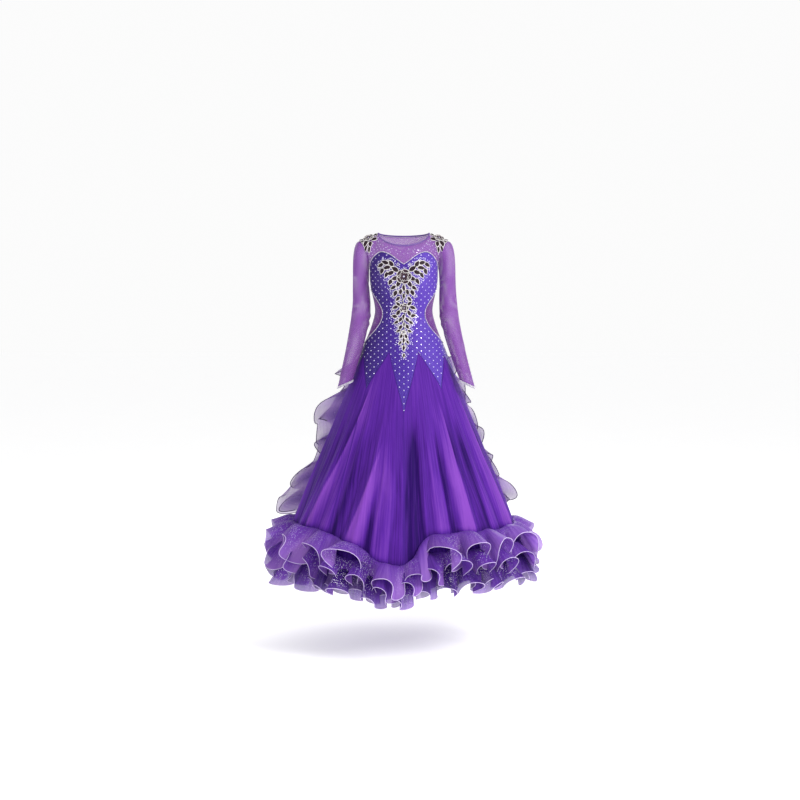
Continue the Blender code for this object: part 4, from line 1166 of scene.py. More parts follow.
def build_inserts(trim):
    """Mesh lenses at the sides of the waist, edged in beads."""
    for word, side in (("left", 1), ("right", -1)):
        rows = lens_rows(side)
        count = len(rows[0])
        shade = [[0.55] * count for _ in rows]
        seam = [[1.0 if c in (0, count - 1) else 0.0 for c in range(count)] for _ in rows]
        piece = cloth(f"look_waist_insert_{word}", rows, MESH, fields={"shade": shade, "seam": seam})
        add(piece, "sheer_mesh", f"waist_insert_{word}")
        for c in (0, count - 1):
            edge = [row[c] for row in rows]
            outward = [Vector((p.x, p.y, 0.0)).normalized() * INSERT_BEAD_OUT for p in edge]
            edge = [p + o for p, o in zip(edge, outward)]
            for point in along_path(edge, INSERT_BEAD_STEP):
                trim.bead(point, INSERT_BEAD_RADIUS)


def build_skirt():
    """Eight flared panels of creased organza."""
    columns = round(PANEL_TURN / SKIRT_FINE_STEP)
    for panel in range(8):
        first_turn = -90.0 + PANEL_TURN * panel
        rows, shades, sheers, glitters, marks = [], [], [], [], []
        for line in range(SKIRT_LINES + 1):
            share = line / SKIRT_LINES
            points, tones, sheer, glitter, mark = [], [], [], [], []
            for c in range(columns + 1):
                turn = first_turn + SKIRT_FINE_STEP * c
                top = gore_curve(turn) - GORE_SEAM_DROP
                z = top + (hem_height(turn) - top) * share
                place = turn
                if c == 0:
                    place += turn_of(PANEL_GAP, z)
                if c == columns:
                    place -= turn_of(PANEL_GAP, z)
                points.append(skirt_point(place, z))
                tones.append(shade_of(turn, z))
                sheer.append(0.25 * ease((share - 0.55) / 0.45))
                glitter.append(0.5)
                mark.append(1.0 if line == 0 or c in (0, columns) else 0.0)
            rows.append(points)
            shades.append(tones)
            sheers.append(sheer)
            glitters.append(glitter)
            marks.append(mark)
        name = f"skirt_panel_{panel + 1}"
        piece = cloth("look_" + name, rows, SKIRT, fields={"shade": shades, "sheer": sheers,
                                                          "glitter": glitters, "seam": marks})
        add(piece, "skirt_organza", name)
        panel_cut(panel)


def hem_height(turn):
    """Height of the skirt's own hem, behind the ruffles."""
    swing, _ = read_table(HEM_SWING, (turn + 180.0) % 360.0 - 180.0)
    return SKIRT_HEM + swing * LOWER_SWING - 0.004


def wave_at(turn, arches):
    """Phase, size and half width in degrees of the ruffle wave at a turn."""
    turn = (turn - arches[0][0]) % 360.0 + arches[0][0]
    count = len(arches)
    for k in range(count):
        start, size = arches[k]
        end, next_size = arches[(k + 1) % count]
        end += 360.0 if k == count - 1 else 0.0
        if start <= turn <= end:
            share = (turn - start) / (end - start)
            return 2 * math.pi * share, size + (next_size - size) * ease(share), (end - start) / 2
    return 0.0, 1.0, 8.0


def ruffle_point(turn, share, root_height, look):
    """Point of a ruffle from its sewn root, share 0, to its corded edge, share 1."""
    phase, size, half = wave_at(turn, look["arches"])
    round_turn = math.radians(turn)
    uneven = math.sin(11 * round_turn + 1.3) + 0.6 * math.sin(17 * round_turn)
    swing, reach_more = read_table(HEM_SWING, (turn + 180.0) % 360.0 - 180.0)
    root_height += swing * look["swing"]
    waviness = share * size
    twist = look["twist"] + 1.1 * math.sin(5 * round_turn + 1.0)
    lift = look["lift"] * waviness * (math.cos(phase) + 0.26 * uneven)
    out = look["out"] * waviness * (math.cos(phase - twist) + 0.20 * uneven)
    curl = share ** 2.2 * size * max(math.cos(phase), 0.0) ** 2
    sway = look["sway"] * waviness * (math.sin(2 * phase) + 0.35 * math.sin(phase)) * min(half / 9.0, 1.3)
    puff = look["puff"] * math.sin(math.pi * share ** 0.55) * (0.75 + 0.35 * math.cos(phase) + 0.15 * uneven)
    z = root_height - look["drop"] * share + lift + 0.012 * curl + 1.1 * puff
    gather = GATHER_RISE * math.sin(GATHERS * math.radians(turn)) * (1.0 - share) ** 2
    reach = (look["flare"] + reach_more) * share + out + 0.010 * curl + gather + puff
    placed = turn + math.degrees(sway / 0.42)
    base = body_point(placed, root_height)
    outward = Vector((base.x, base.y, 0.0)).normalized()
    drift = body_point(placed, z) - base
    return Vector((base.x, base.y, z)) + outward * (drift.dot(outward) + reach)


def glitter_at(turn):
    """Strength of the glitter patches at a turn."""
    total = 0.0
    for centre, spread, strength in GLITTER_PATCHES:
        away = (turn - centre + 180.0) % 360.0 - 180.0
        total += strength * math.exp(-(away / spread) ** 2)
    return min(total, 1.0)


def build_ruffle(name, root_height, look, root_out, material, nodes, cords, cord_radius):
    """One tier of ruffle all round the hem, its edge corded."""
    count = round(360.0 / RUFFLE_STEP)
    rows, shades, sheers, glitters, marks = [], [], [], [], []
    for line in range(RUFFLE_LINES + 1):
        share = line / RUFFLE_LINES
        points, tones, sheer, glitter, mark = [], [], [], [], []
        for c in range(count):
            turn = RUFFLE_STEP * c - 180.0
            point = ruffle_point(turn, share, root_height, look)
            outward = Vector((point.x, point.y, 0.0)).normalized()
            points.append(point + outward * root_out * (1.0 - share))
            phase, _, _ = wave_at(turn, look["arches"])
            # Painted shade: darkest at the root, under the tier above, and in the hollows where the arches
            # open; paler towards the corded edge.
            arch_shade = 0.30 * share ** 0.6 - 0.30 * math.cos(phase - 0.5) * share
            tones.append(min(max(look["painted_tier_light"] + 0.30 * share + arch_shade + 0.10, 0.0), 1.0))
            sheer.append(0.10 + 0.90 * share ** 3)
            glitter.append(glitter_at(turn) * math.sin(math.pi * min(share * 1.1, 1.0)) ** 0.6)
            mark.append(1.0 if line == 0 else 0.0)
        rows.append(points)
        shades.append(tones)
        sheers.append(sheer)
        glitters.append(glitter)
        marks.append(mark)
    piece = cloth("look_" + name, rows, material, closed=True, fields={
        "shade": shades, "sheer": sheers, "glitter": glitters, "seam": marks})
    add(piece, "ruffle_organza", *nodes)
    cords.tube(rows[-1], cord_radius, 6, closed=True)


def build_hem():
    """Two ruffle tiers with a narrower one between them and one inside, and their corded edges."""
    cords = Gathered()
    quarters = range(1, 5)
    build_ruffle("hem_ruffle_upper", UPPER_RUFFLE_HEIGHT, RUFFLES["upper"], 0.0022, RUFFLE,
                 [f"hem_ruffle_upper_{k}" for k in quarters], cords, CORD_RADIUS)
    build_ruffle("hem_ruffle_lower", SKIRT_HEM, RUFFLES["lower"], 0.0, RUFFLE,
                 [f"hem_ruffle_lower_{k}" for k in quarters], cords, CORD_RADIUS)
    build_ruffle("hem_ruffle_middle", MIDDLE_RUFFLE_HEIGHT, RUFFLES["middle"], 0.0018, RUFFLE, [],
                 cords, CORD_RADIUS * 0.9)
    build_ruffle("hem_ruffle_inner", SKIRT_HEM, RUFFLES["inner"], -0.004, INNER, [], cords,
                 CORD_RADIUS * 0.8)
    add(cords.make("look_ruffle_cords", PALE_CORD), "ruffle_organza")


# Cascades: sway round the body, wave of the free edge, droop and arch as shares of the reach
CASCADE_SWAY = 2.3
CASCADE_FLIP = 0.012
CASCADE_DROOP = 0.34
CASCADE_ARCH = 0.16
CASCADE_LINES = 190
CASCADE_ACROSS = 12
CASCADE_FOOT_TAPER = 0.045

# Layers of a cascade: end of its name, share of the reach, share of the sway, shift down
CASCADE_LAYERS = (("", 1.0, 1.0, 0.0), ("_under", 0.74, -0.8, -0.022))


def cascade_rows(turn, table, reach_share, sway_share, shift_down):
    """Points of a waving strip from its sewn line to its free edge, and its shades."""
    lines, columns = CASCADE_LINES, CASCADE_ACROSS
    top, foot = table[0][0], table[-1][0]
    rows, shades, sheers = [], [], []
    for line in range(lines + 1):
        z = top + (foot - top) * line / lines
        reach, sway = read_table(table, z + shift_down)
        reach *= reach_share * (0.30 + 0.70 * ease((z - foot) / CASCADE_FOOT_TAPER))
        root = skirt_point(turn, z)
        level = Vector((root.x, root.y, 0.0)).normalized()
        round_ = Vector((-level.y, level.x, 0.0))
        points, tones, sheer = [], [], []
        for c in range(columns + 1):
            share = c / columns
            shift = round_ * (sway * CASCADE_SWAY * sway_share * share ** 1.3)
            flip = CASCADE_FLIP * math.sin(70.0 * z + 2.4 * share + turn) * share ** 2
            droop = Vector((0.0, 0.0, -CASCADE_DROOP * reach * share * share + flip))
            arch = level * (CASCADE_ARCH * reach * math.sin(math.pi * share))
            points.append(root + level * (0.001 + reach * share) + arch + shift + droop)
            tone = 0.12 + 0.75 * share ** 1.2 + 0.16 * math.sin(80.0 * z + 2.0 * share)
            tones.append(min(max(tone, 0.0), 1.0))
            sheer.append(0.20 + 0.80 * share)
        rows.append(points)
        shades.append(tones)
        sheers.append(sheer)
    return rows, shades, sheers


def build_cascades():
    """Waving organza strips, each with a narrower one under it, and their thin dark corded edges."""
    cords = Gathered()
    for name, turn, table in (("cascade_side_left", SIDE_CASCADE_TURN, SIDE_CASCADE_LEFT),
                              ("cascade_side_right", 360.0 - SIDE_CASCADE_TURN, SIDE_CASCADE_RIGHT),
                              ("cascade_back_left", BACK_CASCADE_TURN, BACK_CASCADE),
                              ("cascade_back_right", 360.0 - BACK_CASCADE_TURN, BACK_CASCADE)):
        for word, reach_share, sway_share, shift_down in CASCADE_LAYERS:
            beside = -0.9 if word else 0.0
            rows, shades, sheers = cascade_rows(turn + beside, table, reach_share, sway_share, shift_down)
            level = [[0.3] * len(rows[0]) for _ in rows]
            plain = [[0.0] * len(rows[0]) for _ in rows]
            piece = cloth(f"look_{name}{word}", rows, CASCADE, fields={
                "shade": shades, "sheer": sheers, "glitter": level, "seam": plain})
            nodes = () if word else (name,)
            add(piece, "cascade_organza", *nodes)
            last = len(rows[0]) - 1
            outline = [rows[0][c] for c in range(last)] + [row[-1] for row in rows]
            outline += [rows[-1][c] for c in range(last - 1, -1, -1)]
            cords.tube(outline, 0.0015, 5)
    add(cords.make("look_cascade_cords", DARK_CORD), "cascade_organza")


def neck_point(share, facing):
    """Point of the neck edge and the yoke's direction there, share -1 to 1 from side to side."""
    angle = math.radians(90.0 * share)
    level = max(math.cos(angle), 0.0)
    depth = NECK_FRONT_DEPTH if facing < 0 else NECK_BACK_DEPTH
    drop = NECK_FRONT_DROP if facing < 0 else NECK_BACK_DROP
    pull = NECK_FRONT_PULL if facing < 0 else NECK_BACK_PULL
    point = Vector((NECK_HALF_WIDTH * math.sin(angle), NECK_SIDE_Y + facing * depth * level,
                    -drop * level ** NECK_CURVE))
    side_pull = Vector((0.0, -facing * SHOULDER_SIDE_PULL.y, SHOULDER_SIDE_PULL.z))
    return point, pull.lerp(side_pull, math.sin(angle) ** 2)


def yoke_top(share, facing):
    """Point and direction of the yoke's upper boundary: neck edge, then shoulder seam."""
    if abs(share) <= NECK_SHARE:
        return neck_point(share / NECK_SHARE, facing)
    along = (abs(share) - NECK_SHARE) / (1.0 - NECK_SHARE)
    neck_end, _ = neck_point(1.0, facing)
    point = neck_end.lerp(SHOULDER_TIP, along)
    point.z -= SHOULDER_SAG * math.sin(math.pi * along)
    pull = SHOULDER_SIDE_PULL.lerp(SHOULDER_TIP_PULL, along)
    pull.y *= -facing
    if share < 0:
        point.x, pull.x = -point.x, -pull.x
    return point, pull


def yoke_rows(facing):
    """Fine points of the front (-1) or back (+1) yoke, rows from the shoulder down."""
    rows = [[] for _ in range(YOKE_LINES + 1)]
    for c in range(YOKE_COLUMNS + 1):
        share = -1.0 + 2.0 * c / YOKE_COLUMNS
        turn = 90.0 * share if facing < 0 else 180.0 - 90.0 * share
        z = bodice_top(turn) + SEAM_GAP / 2
        start = body_point(turn, z)
        end, end_pull = yoke_top(share, facing)
        end = end - end_pull.normalized() * (SEAM_GAP / 2)
        up = (body_point(turn, z + 0.002) - start) / 0.002 * (end - start).length
        armhole_pull = Vector((math.copysign(ARMHOLE_PULL.x, -share), facing * ARMHOLE_PULL.y,
                               ARMHOLE_PULL.z))
        up = up.lerp(armhole_pull, ease((abs(share) - ARMHOLE_START) / (1.0 - ARMHOLE_START)))
        for line in range(YOKE_LINES + 1):
            rows[line].append(hermite(start, end, up, end_pull, 1.0 - line / YOKE_LINES))
    return rows


def band(name, edge, leans, half_width, half_thickness, material, sides=8):
    """Flat band that carries on from an edge loop along its leans."""
    vertices, faces = [], []
    count = len(edge)
    middles = []
    for i, (point, lean) in enumerate(zip(edge, leans)):
        tangent = (edge[(i + 1) % count] - edge[i - 1]).normalized()
        wide = (lean - tangent * lean.dot(tangent)).normalized()
        thin = tangent.cross(wide)
        centre = point + wide * (BAND_GAP + half_width)
        middles.append((centre, wide, thin))
        for k in range(sides):
            angle = 2 * math.pi * k / sides
            vertices.append(centre + wide * half_width * math.cos(angle)
                            + thin * half_thickness * math.sin(angle))
    for i in range(count):
        m = (i + 1) % count
        for k in range(sides):
            n = (k + 1) % sides
            faces.append((i * sides + k, i * sides + n, m * sides + n, m * sides + k))
    return new_object(name, vertices, faces, material), middles


def build_yoke():
    """Sheer front and back yoke with the neck binding."""
    grids = {}
    for word, facing in (("front", -1.0), ("back", 1.0)):
        rows = yoke_rows(facing)
        seam = [[1.0 if line in (0, YOKE_LINES) or c in (0, YOKE_COLUMNS) else 0.0
                 for c in range(YOKE_COLUMNS + 1)] for line in range(YOKE_LINES + 1)]
        # Painted shade: darker towards the armholes.
        shade = [[0.10 + 0.25 * abs(-1.0 + 2.0 * c / YOKE_COLUMNS) ** 3
                  for c in range(YOKE_COLUMNS + 1)] for _ in range(YOKE_LINES + 1)]
        piece = cloth(f"look_yoke_{word}", rows, MESH, fields={"shade": shade, "seam": seam})
        add(piece, "sheer_mesh", f"yoke_{word}")
        grids[word] = rows
    first = round(YOKE_COLUMNS * (1.0 - NECK_SHARE) / 2)
    last = YOKE_COLUMNS - first
    edge, leans = [], []
    for rows, places in ((grids["front"], range(first, last + 1)),
                         (grids["back"], range(last - 1, first, -1))):
        for c in places:
            up = (rows[0][c] - rows[1][c]).normalized()
            inward = Vector((-rows[0][c].x, 0.0, 0.0)).normalized()
            side_up = inward.lerp(Vector((0.0, 0.0, 1.0)), NECK_SIDE_RISE).normalized()
            close = max(0.0, 1.0 - min(c - first, last - c) / 5.0)
            edge.append(rows[0][c])
            leans.append(up.lerp(side_up, close).normalized())
    piece, _ = band("look_neck_binding", edge, leans, BINDING_HALF_WIDTH, BINDING_HALF_THICKNESS, BINDING)
    add(piece, "binding", "neck_binding")
    return grids


def sleeve_ring(z, side, place):
    """Point of the sleeve's level ring: place 0 at the body side, 0.25 front, 0.5 outside."""
    right_axis, left_axis, depth, half_width, half_depth = read_table(SLEEVE_RINGS, z)
    axis = left_axis if side > 0 else right_axis
    angle = 2.0 * math.pi * place
    crease = 0.0
    for height, centre, rise, spread, width, slant in SLEEVE_CREASES:
        away = (place - centre - side * 0.04 + 0.5) % 1.0 - 0.5
        level = (z - height - slant * 0.03 * away / width) / spread
        crease += rise * math.exp(-(away / width) ** 2 - level * level)
    x = axis - (half_width + crease) * math.cos(angle)
    return Vector((side * x, depth - (half_depth + crease) * math.sin(angle), z))


def build_sleeve(word, side, grids, trim):
    """Set-in sleeve from the armhole to a cuff that points over the hand, with its bead band."""
    edge = -1 if side > 0 else 0
    front, back = grids["front"], grids["back"]
    loop = [row[edge] for row in reversed(front)] + [row[edge] for row in back[1:-1]]
    count = len(loop)
    first_height, last_height = SLEEVE_RINGS[0][0], SLEEVE_RINGS[-1][0]
    cap_lines, ring_lines = 14, 96
    rows = [[] for _ in range(cap_lines)]
    for c, start in enumerate(loop):
        place = c / count
        outside = (1.0 - math.cos(2.0 * math.pi * place)) / 2
        end = sleeve_ring(first_height, side, place)
        start = start + Vector((side * ARMHOLE_GAP, 0.0, 0.0))
        pull = CAP_UNDERARM_PULL + (CAP_OUTWARD_PULL - CAP_UNDERARM_PULL) * outside
        start_pull = Vector((side * pull, 0.0, -0.15 * pull))
        end_pull = Vector((0.0, 0.0, (end.z - start.z) * 1.1))
        for line in range(cap_lines):
            rows[line].append(hermite(start, end, start_pull, end_pull, line / cap_lines))
    for line in range(ring_lines + 1):
        z = first_height + (last_height - first_height) * line / ring_lines
        points = []
        for c in range(count):
            place = c / count
            outside = (1.0 - math.cos(2.0 * math.pi * place)) / 2
            reach = ease((first_height - z) / (first_height - last_height))
            point = sleeve_ring(z, side, place)
            point.z -= CUFF_SLANT * outside * reach ** 6
            point.x += side * CUFF_LEAN * outside * reach ** 6
            points.append(point)
        rows.append(points)
    last = len(rows) - 1
    seam = [[1.0 if line in (0, last) or c == 0 else 0.0 for c in range(count)]
            for line in range(last + 1)]
    # Painted shade: darkest on the side towards the body, less along the outside, lightest in front and
    # behind.
    shade = []
    for line in range(last + 1):
        tones = []
        for c in range(count):
            facing = math.cos(2.0 * math.pi * c / count)
            inside = ease((facing + 0.25) / 1.05)
            tones.append(min(0.08 + 0.30 * abs(facing) ** 4 + 0.58 * inside, 0.80))
        shade.append(tones)
    piece = cloth(f"look_sleeve_{word}", rows, MESH, closed=True, fields={"shade": shade, "seam": seam})
    add(piece, "sheer_mesh", f"sleeve_{word}")
    sleeve_cut(1 if word == "left" else -1)
    leans = [low - high for high, low in zip(rows[-3], rows[-1])]
    strip, middles = band(f"look_cuff_trim_{word}", rows[-1], leans, CUFF_BAND_HALF_WIDTH,
                          CUFF_BAND_HALF_THICKNESS * 0.6, BINDING)
    add(strip, "bead_trim", f"cuff_trim_{word}")
    centre = sum((m[0] for m in middles), Vector()) / len(middles)
    for across in CUFF_BEAD_ROWS:
        path = []
        for point, wide, thin in middles:
            outward = thin if thin.dot(point - centre) > 0 else -thin
            path.append(point + wide * across + outward * CUFF_BEAD_OUT)
        for point in along_path(path, CUFF_BEAD_STEP, closed=True):
            trim.bead(point, CUFF_BEAD_RADIUS)
    return rows


def grid_place(rows, line, column):
    """Point and outward direction of a grid at a fractional line and column."""
    point = between(rows, line, column)
    down = (between(rows, min(line + 0.5, len(rows) - 1.01), column)
            - between(rows, max(line - 0.5, 0), column))
    across = (between(rows, line, min(column + 0.5, len(rows[0]) - 1.01))
              - between(rows, line, max(column - 0.5, 0)))
    normal = down.cross(across).normalized()
    if normal.dot(Vector((point.x, point.y, 0.02))) < 0:
        normal = -normal
    return point, normal


def on_front(x, z, out=0.0):
    """Point and outward direction on the bodice front at a distance from the centre and a height."""
    turn = front_turn(x, z)
    normal = body_normal(turn, z)
    return body_point(turn, z, crease_height(turn, z)) + normal * out, normal


# Front applique leaves of one half: distance from the centre, height, direction of the tip in
# degrees from sideways, length, width, all in millimetres
HALF_LEAVES = (
    (30, -127, 30, 32, 14), (46, -110, 58, 28, 13), (65, -104, 18, 28, 13), (80, -113, -42, 25, 12),
    (61, -124, -8, 29, 13), (76, -134, -72, 25, 12), (46, -141, -28, 29, 13), (62, -149, -62, 24, 11),
    (32, -160, -18, 28, 13), (46, -171, -64, 25, 12), (21, -180, -58, 28, 13), (37, -191, -34, 25, 11),
    (29, -211, -68, 25, 12), (13, -208, -78, 23, 11), (21, -231, -48, 23, 10), (19, -248, 42, 22, 10),
    (31, -262, -22, 24, 11), (20, -281, -60, 25, 11), (31, -292, 12, 23, 11), (13, -306, -50, 23, 10),
    (26, -314, -30, 20, 9), (11, -331, -62, 21, 10), (20, -345, -20, 18, 8), (9, -363, -70, 19, 9),
    (12, -385, -62, 16, 8),
)
MIDDLE_LEAVES = ((0, -193, -90, 24, 11), (0, -222, -85, 21, 10), (-1, -296, -95, 21, 10),
                 (1, -322, -90, 19, 9), (0, -378, -90, 21, 10), (0, -404, -90, 23, 10),
                 (0, -430, -90, 18, 7))
# Scrolls of one half: distance from the centre, height, radius, first angle, angle turned through
HALF_SCROLLS = (
    (54, -136, 9, 20, 420), (84, -126, 7, -60, 400), (38, -176, 8, 100, -430), (24, -196, 8, 40, 400),
    (38, -222, 7, 160, -400), (10, -238, 7, -30, 420), (38, -276, 7, 120, -400), (24, -300, 7, 60, 410),
    (20, -328, 6, 140, -400), (13, -350, 6, 30, 400), (12, -372, 5, 100, -400), (8, -398, 5, 60, 400),
    (56, -98, 6, 200, -400), (22, -112, 6, 80, 400),
)
# Roses: distance from the centre, height, radius
FRONT_ROSES = ((0, -154, 24), (1, -263, 15), (-1, -350, 8))
STEM = ((0, -182), (5, -206), (-4, -236), (4, -282), (-4, -312), (2, -338), (0, -366), (0, -420))
OUTLINE_RADIUS = 0.0011
SCROLL_RADIUS = 0.00085
LEAF_WIDENING = 1.22


def leaf_outline(length, width, share, side):
    """Edge of a pointed leaf: its distance along and across."""
    along = length * share
    across = side * width / 2 * math.sin(math.pi * share ** 0.85) ** 0.8
    return along, across


def build_leaf(place, leaf, leaves, beads, rise=0.0024):
    """Domed leaf with a vein and a beaded edge, laid on a surface by a place function."""
    x, z, direction, length, width = leaf
    x, z, length, width = (value / 1000 for value in (x, z, length, width * LEAF_WIDENING))
    angle = math.radians(direction)
    lines, columns = 8, 6
    vertices, faces = [], []

    def spot(along, across, out):
        u = x + (along - length / 2) * math.cos(angle) - across * math.sin(angle)
        w = z + (along - length / 2) * math.sin(angle) + across * math.cos(angle)
        return place(u, w, out)[0]

    for line in range(lines + 1):
        share = line / lines
        for c in range(columns + 1):
            side = -1.0 + 2.0 * c / columns
            along, across = leaf_outline(length, width, share, side)
            dome = rise * (1.0 - side * side) * math.sin(math.pi * min(max(share, 0.02), 0.98)) ** 0.5
            vein = -0.0007 if c == columns // 2 and 0 < line < lines else 0.0
            vertices.append(spot(along, across, 0.0010 + dome + vein))
    for line in range(lines):
        for c in range(columns):
            a = line * (columns + 1) + c
            faces.append((a, a + 1, a + columns + 2, a + columns + 1))
    leaves.add(vertices, faces)
    path = [spot(*leaf_outline(length, width, k / 10, 1.0), 0.0014) for k in range(11)]
    path += [spot(*leaf_outline(length, width, k / 10, -1.0), 0.0014) for k in range(9, 0, -1)]
    beads.tube(path, OUTLINE_RADIUS, 5, closed=True)


def build_rose(centre, normal, up, radius, petals, beads, hearts):
    """Open rose of overlapping cupped petals in two rings, each petal with a beaded rim, and a stone at its
    heart.
    """
    side = up.cross(normal).normalized()
    up = normal.cross(side).normalized()
    rings = ((5, 0.60, 0.56, 0.10, 0.0), (4, 0.30, 0.42, 0.30, 36.0))
    for count, reach, size, height, turned in rings:
        for k in range(count):
            angle = math.radians(360 * k / count + turned)
            away = side * math.cos(angle) + up * math.sin(angle)
            round_ = normal.cross(away)
            base = centre + away * radius * reach + normal * (0.0012 + radius * height * 0.55)
            lines, columns = 6, 8
            vertices, faces = [], []
            for line in range(lines + 1):
                far = -1.0 + 2.0 * line / lines
                for c in range(columns + 1):
                    wide = -1.0 + 2.0 * c / columns
                    half = math.sqrt(max(1.0 - (0.92 * far) ** 2, 0.0))
                    cup = 0.30 * (far + 1.0) ** 1.6 / 3.0 + 0.16 * (wide * half) ** 2
                    frill = 0.05 * math.sin(5.0 * wide + 2.0 * k) * max(far, 0.0)
                    vertices.append(base + away * radius * size * far * 0.86
                                    + round_ * radius * size * wide * half * 1.05
                                    + normal * radius * size * (cup + frill))
            for line in range(lines):
                for c in range(columns):
                    a = line * (columns + 1) + c
                    faces.append((a, a + 1, a + columns + 2, a + columns + 1))
            petals.add(vertices, faces)
            rim = [vertices[line * (columns + 1)] for line in range(2, lines)]
            rim += [vertices[lines * (columns + 1) + c] for c in range(columns + 1)]
            rim += [vertices[line * (columns + 1) + columns] for line in range(lines - 1, 1, -1)]
            thickness = OUTLINE_RADIUS if reach > 0.5 else OUTLINE_RADIUS * 0.55
            beads.tube([point + normal * 0.0005 for point in rim], thickness, 5)
    hearts.stone(centre + normal * radius * 0.34, normal, radius * 0.14)


def build_front_applique():
    """Roses, paired leaves and a winding stem on the bodice front, with beaded outlines."""
    leaves, petals, beads, hearts = Gathered(), Gathered(), Gathered(), Gathered()
    shown = []
    for k, (x, z, direction, length, width) in enumerate(HALF_LEAVES):
        for side in (1, -1):
            turned = direction if side > 0 else 180 - direction
            nudge = 1.4 * math.sin(2.1 * k + side)
            leaf = (side * x + nudge, z + nudge, turned + 3 * nudge, length, width)
            build_leaf(on_front, leaf, leaves, beads)
            shown.append((leaf[0], leaf[1], length * 0.30))
    for leaf in MIDDLE_LEAVES:
        build_leaf(on_front, leaf, leaves, beads)
        shown.append((leaf[0], leaf[1], leaf[3] * 0.30))
    for x, z, radius, first, turned in HALF_SCROLLS:
        for side in (1, -1):
            path = []
            for k in range(15):
                angle = math.radians(first + turned * k / 14)
                curl = radius * (1.0 - 0.72 * k / 14) / 1000
                u = side * (x / 1000 + curl * math.cos(angle))
                path.append(on_front(u, z / 1000 + curl * math.sin(angle), 0.0016)[0])
            beads.tube(path, SCROLL_RADIUS, 5)
    for x, z, radius in FRONT_ROSES:
        centre, normal = on_front(x / 1000, z / 1000)
        build_rose(centre, normal, Vector((0, 0, 1)), radius / 1000, petals, beads, hearts)
        shown.append((x, z, radius))
    stem = [Vector((x / 1000, 0.0, z / 1000)) for x, z in STEM]
    fine = []
    for a, b in zip(stem, stem[1:]):
        fine += [a.lerp(b, k / 6) for k in range(6)]
    laid = [on_front(p.x, p.z, 0.0016)[0] for p in fine]
    petals.tube(laid, 0.0013, 6)
    beads.tube([p + Vector((0.0022, -0.0006, 0)) for p in laid], SCROLL_RADIUS, 5)
    leaf_piece = leaves.make("look_applique_leaves", LEAF)
    add(leaf_piece, "applique", "applique_front")
    add(petals.make("look_applique_roses", PETAL), "applique")
    return shown, beads, hearts


def build_shoulder_applique(word, side, grids, beads, hearts):
    """Rose with standing petals and a trail of leaves over the shoulder seam."""
    leaves, petals = Gathered(), Gathered()
    rows = grids["front"]
    middle = YOKE_COLUMNS * (0.5 + side * 0.415)

    def lay(u, w, out):
        column = min(max(middle + side * u * 560.0, 0.0), YOKE_COLUMNS - 0.01)
        line = -w * 250.0
        if line >= 0:
            point, normal = grid_place(rows, min(line, YOKE_LINES - 1.0), column)
        else:
            point, normal = grid_place(grids["back"], min(-line, YOKE_LINES - 1.0), column)
        return point + normal * (out + 0.0012), normal

    centre, normal = lay(0.0, -0.012, 0.0)
    build_rose(centre, normal, Vector((0, 0, 1)), 0.018, petals, beads, hearts)
    trail = ((-16, -4, 170, 22, 10), (17, -2, 15, 24, 10), (-12, -27, -120, 22, 10),
             (11, -30, -62, 24, 10), (0, -40, -92, 22, 9), (15, -45, -50, 18, 8), (6, -56, -80, 20, 8),
             (-9, 14, 118, 20, 9), (10, 16, 66, 20, 9), (0, 24, 92, 20, 9), (20, -18, -12, 18, 8))
    for leaf in trail:
        build_leaf(lay, leaf, leaves, beads, 0.0032)
    piece = leaves.make(f"look_shoulder_leaves_{word}", LEAF)
    add(piece, "applique", f"applique_shoulder_{word}")
    add(petals.make(f"look_shoulder_rose_{word}", PETAL), "applique")


def build_bodice_stones(shown):
    """Staggered stones on the bodice, closer together round the applique, fewer on the backs."""
    stones = Gathered()
    dice = random.Random(5)
    row_gap, half_column = 0.0112, 0.0165
    level = 0
    z = -0.078
    while z > -0.620:
        for k in range(-40, 41):
            distance = half_column * (2 * k + level % 2)
            half_width = read_table(SECTIONS, z)[0]
            turn = math.degrees(distance / (half_width * 0.93))
            if abs(turn) > 178.5:
                continue
            if z > bodice_top(turn) - 0.007 or z < gore_curve(turn) + 0.007:
                continue
            row = LEVEL_ROW * (bodice_top(90.0) - z) / (bodice_top(90.0) - LEVEL_HEIGHT)
            if side_edge(row, True) - 3.5 < abs(turn) < side_edge(row, False) + 3.5:
                continue
            point = body_point(turn, z, crease_height(turn, z))
            if point.y < 0 and any(math.hypot(point.x * 1000 - x, z * 1000 - w) < reach + 2.0
                                   for x, w, reach in shown):
                continue
            normal = body_normal(turn, z)
            stones.stone(point + normal * 0.0002, normal, 0.0021, dice.uniform(0, 45))
        z -= row_gap
        level += 1
    placed = []
    for _ in range(9000):
        x = dice.uniform(-0.105, 0.105)
        z = dice.uniform(-0.470, -0.085)
        nearest = min(math.hypot(x * 1000 - u, z * 1000 - w) - reach for u, w, reach in shown)
        if not 0.0 < nearest < 13.0 or dice.random() < (nearest / 13.0) ** 1.6:
            continue
        if any((x - a) ** 2 + (z - b) ** 2 < 0.0046 ** 2 for a, b in placed):
            continue
        turn = front_turn(x, z)
        if z > bodice_top(turn) - 0.005 or z < gore_curve(turn) + 0.004:
            continue
        placed.append((x, z))
        point, normal = on_front(x, z)
        stones.stone(point + normal * 0.0002, normal, dice.uniform(0.0015, 0.0020), dice.uniform(0, 45))
    add(stones.make("look_bodice_stones", STONE, smooth=False), "bead_trim")


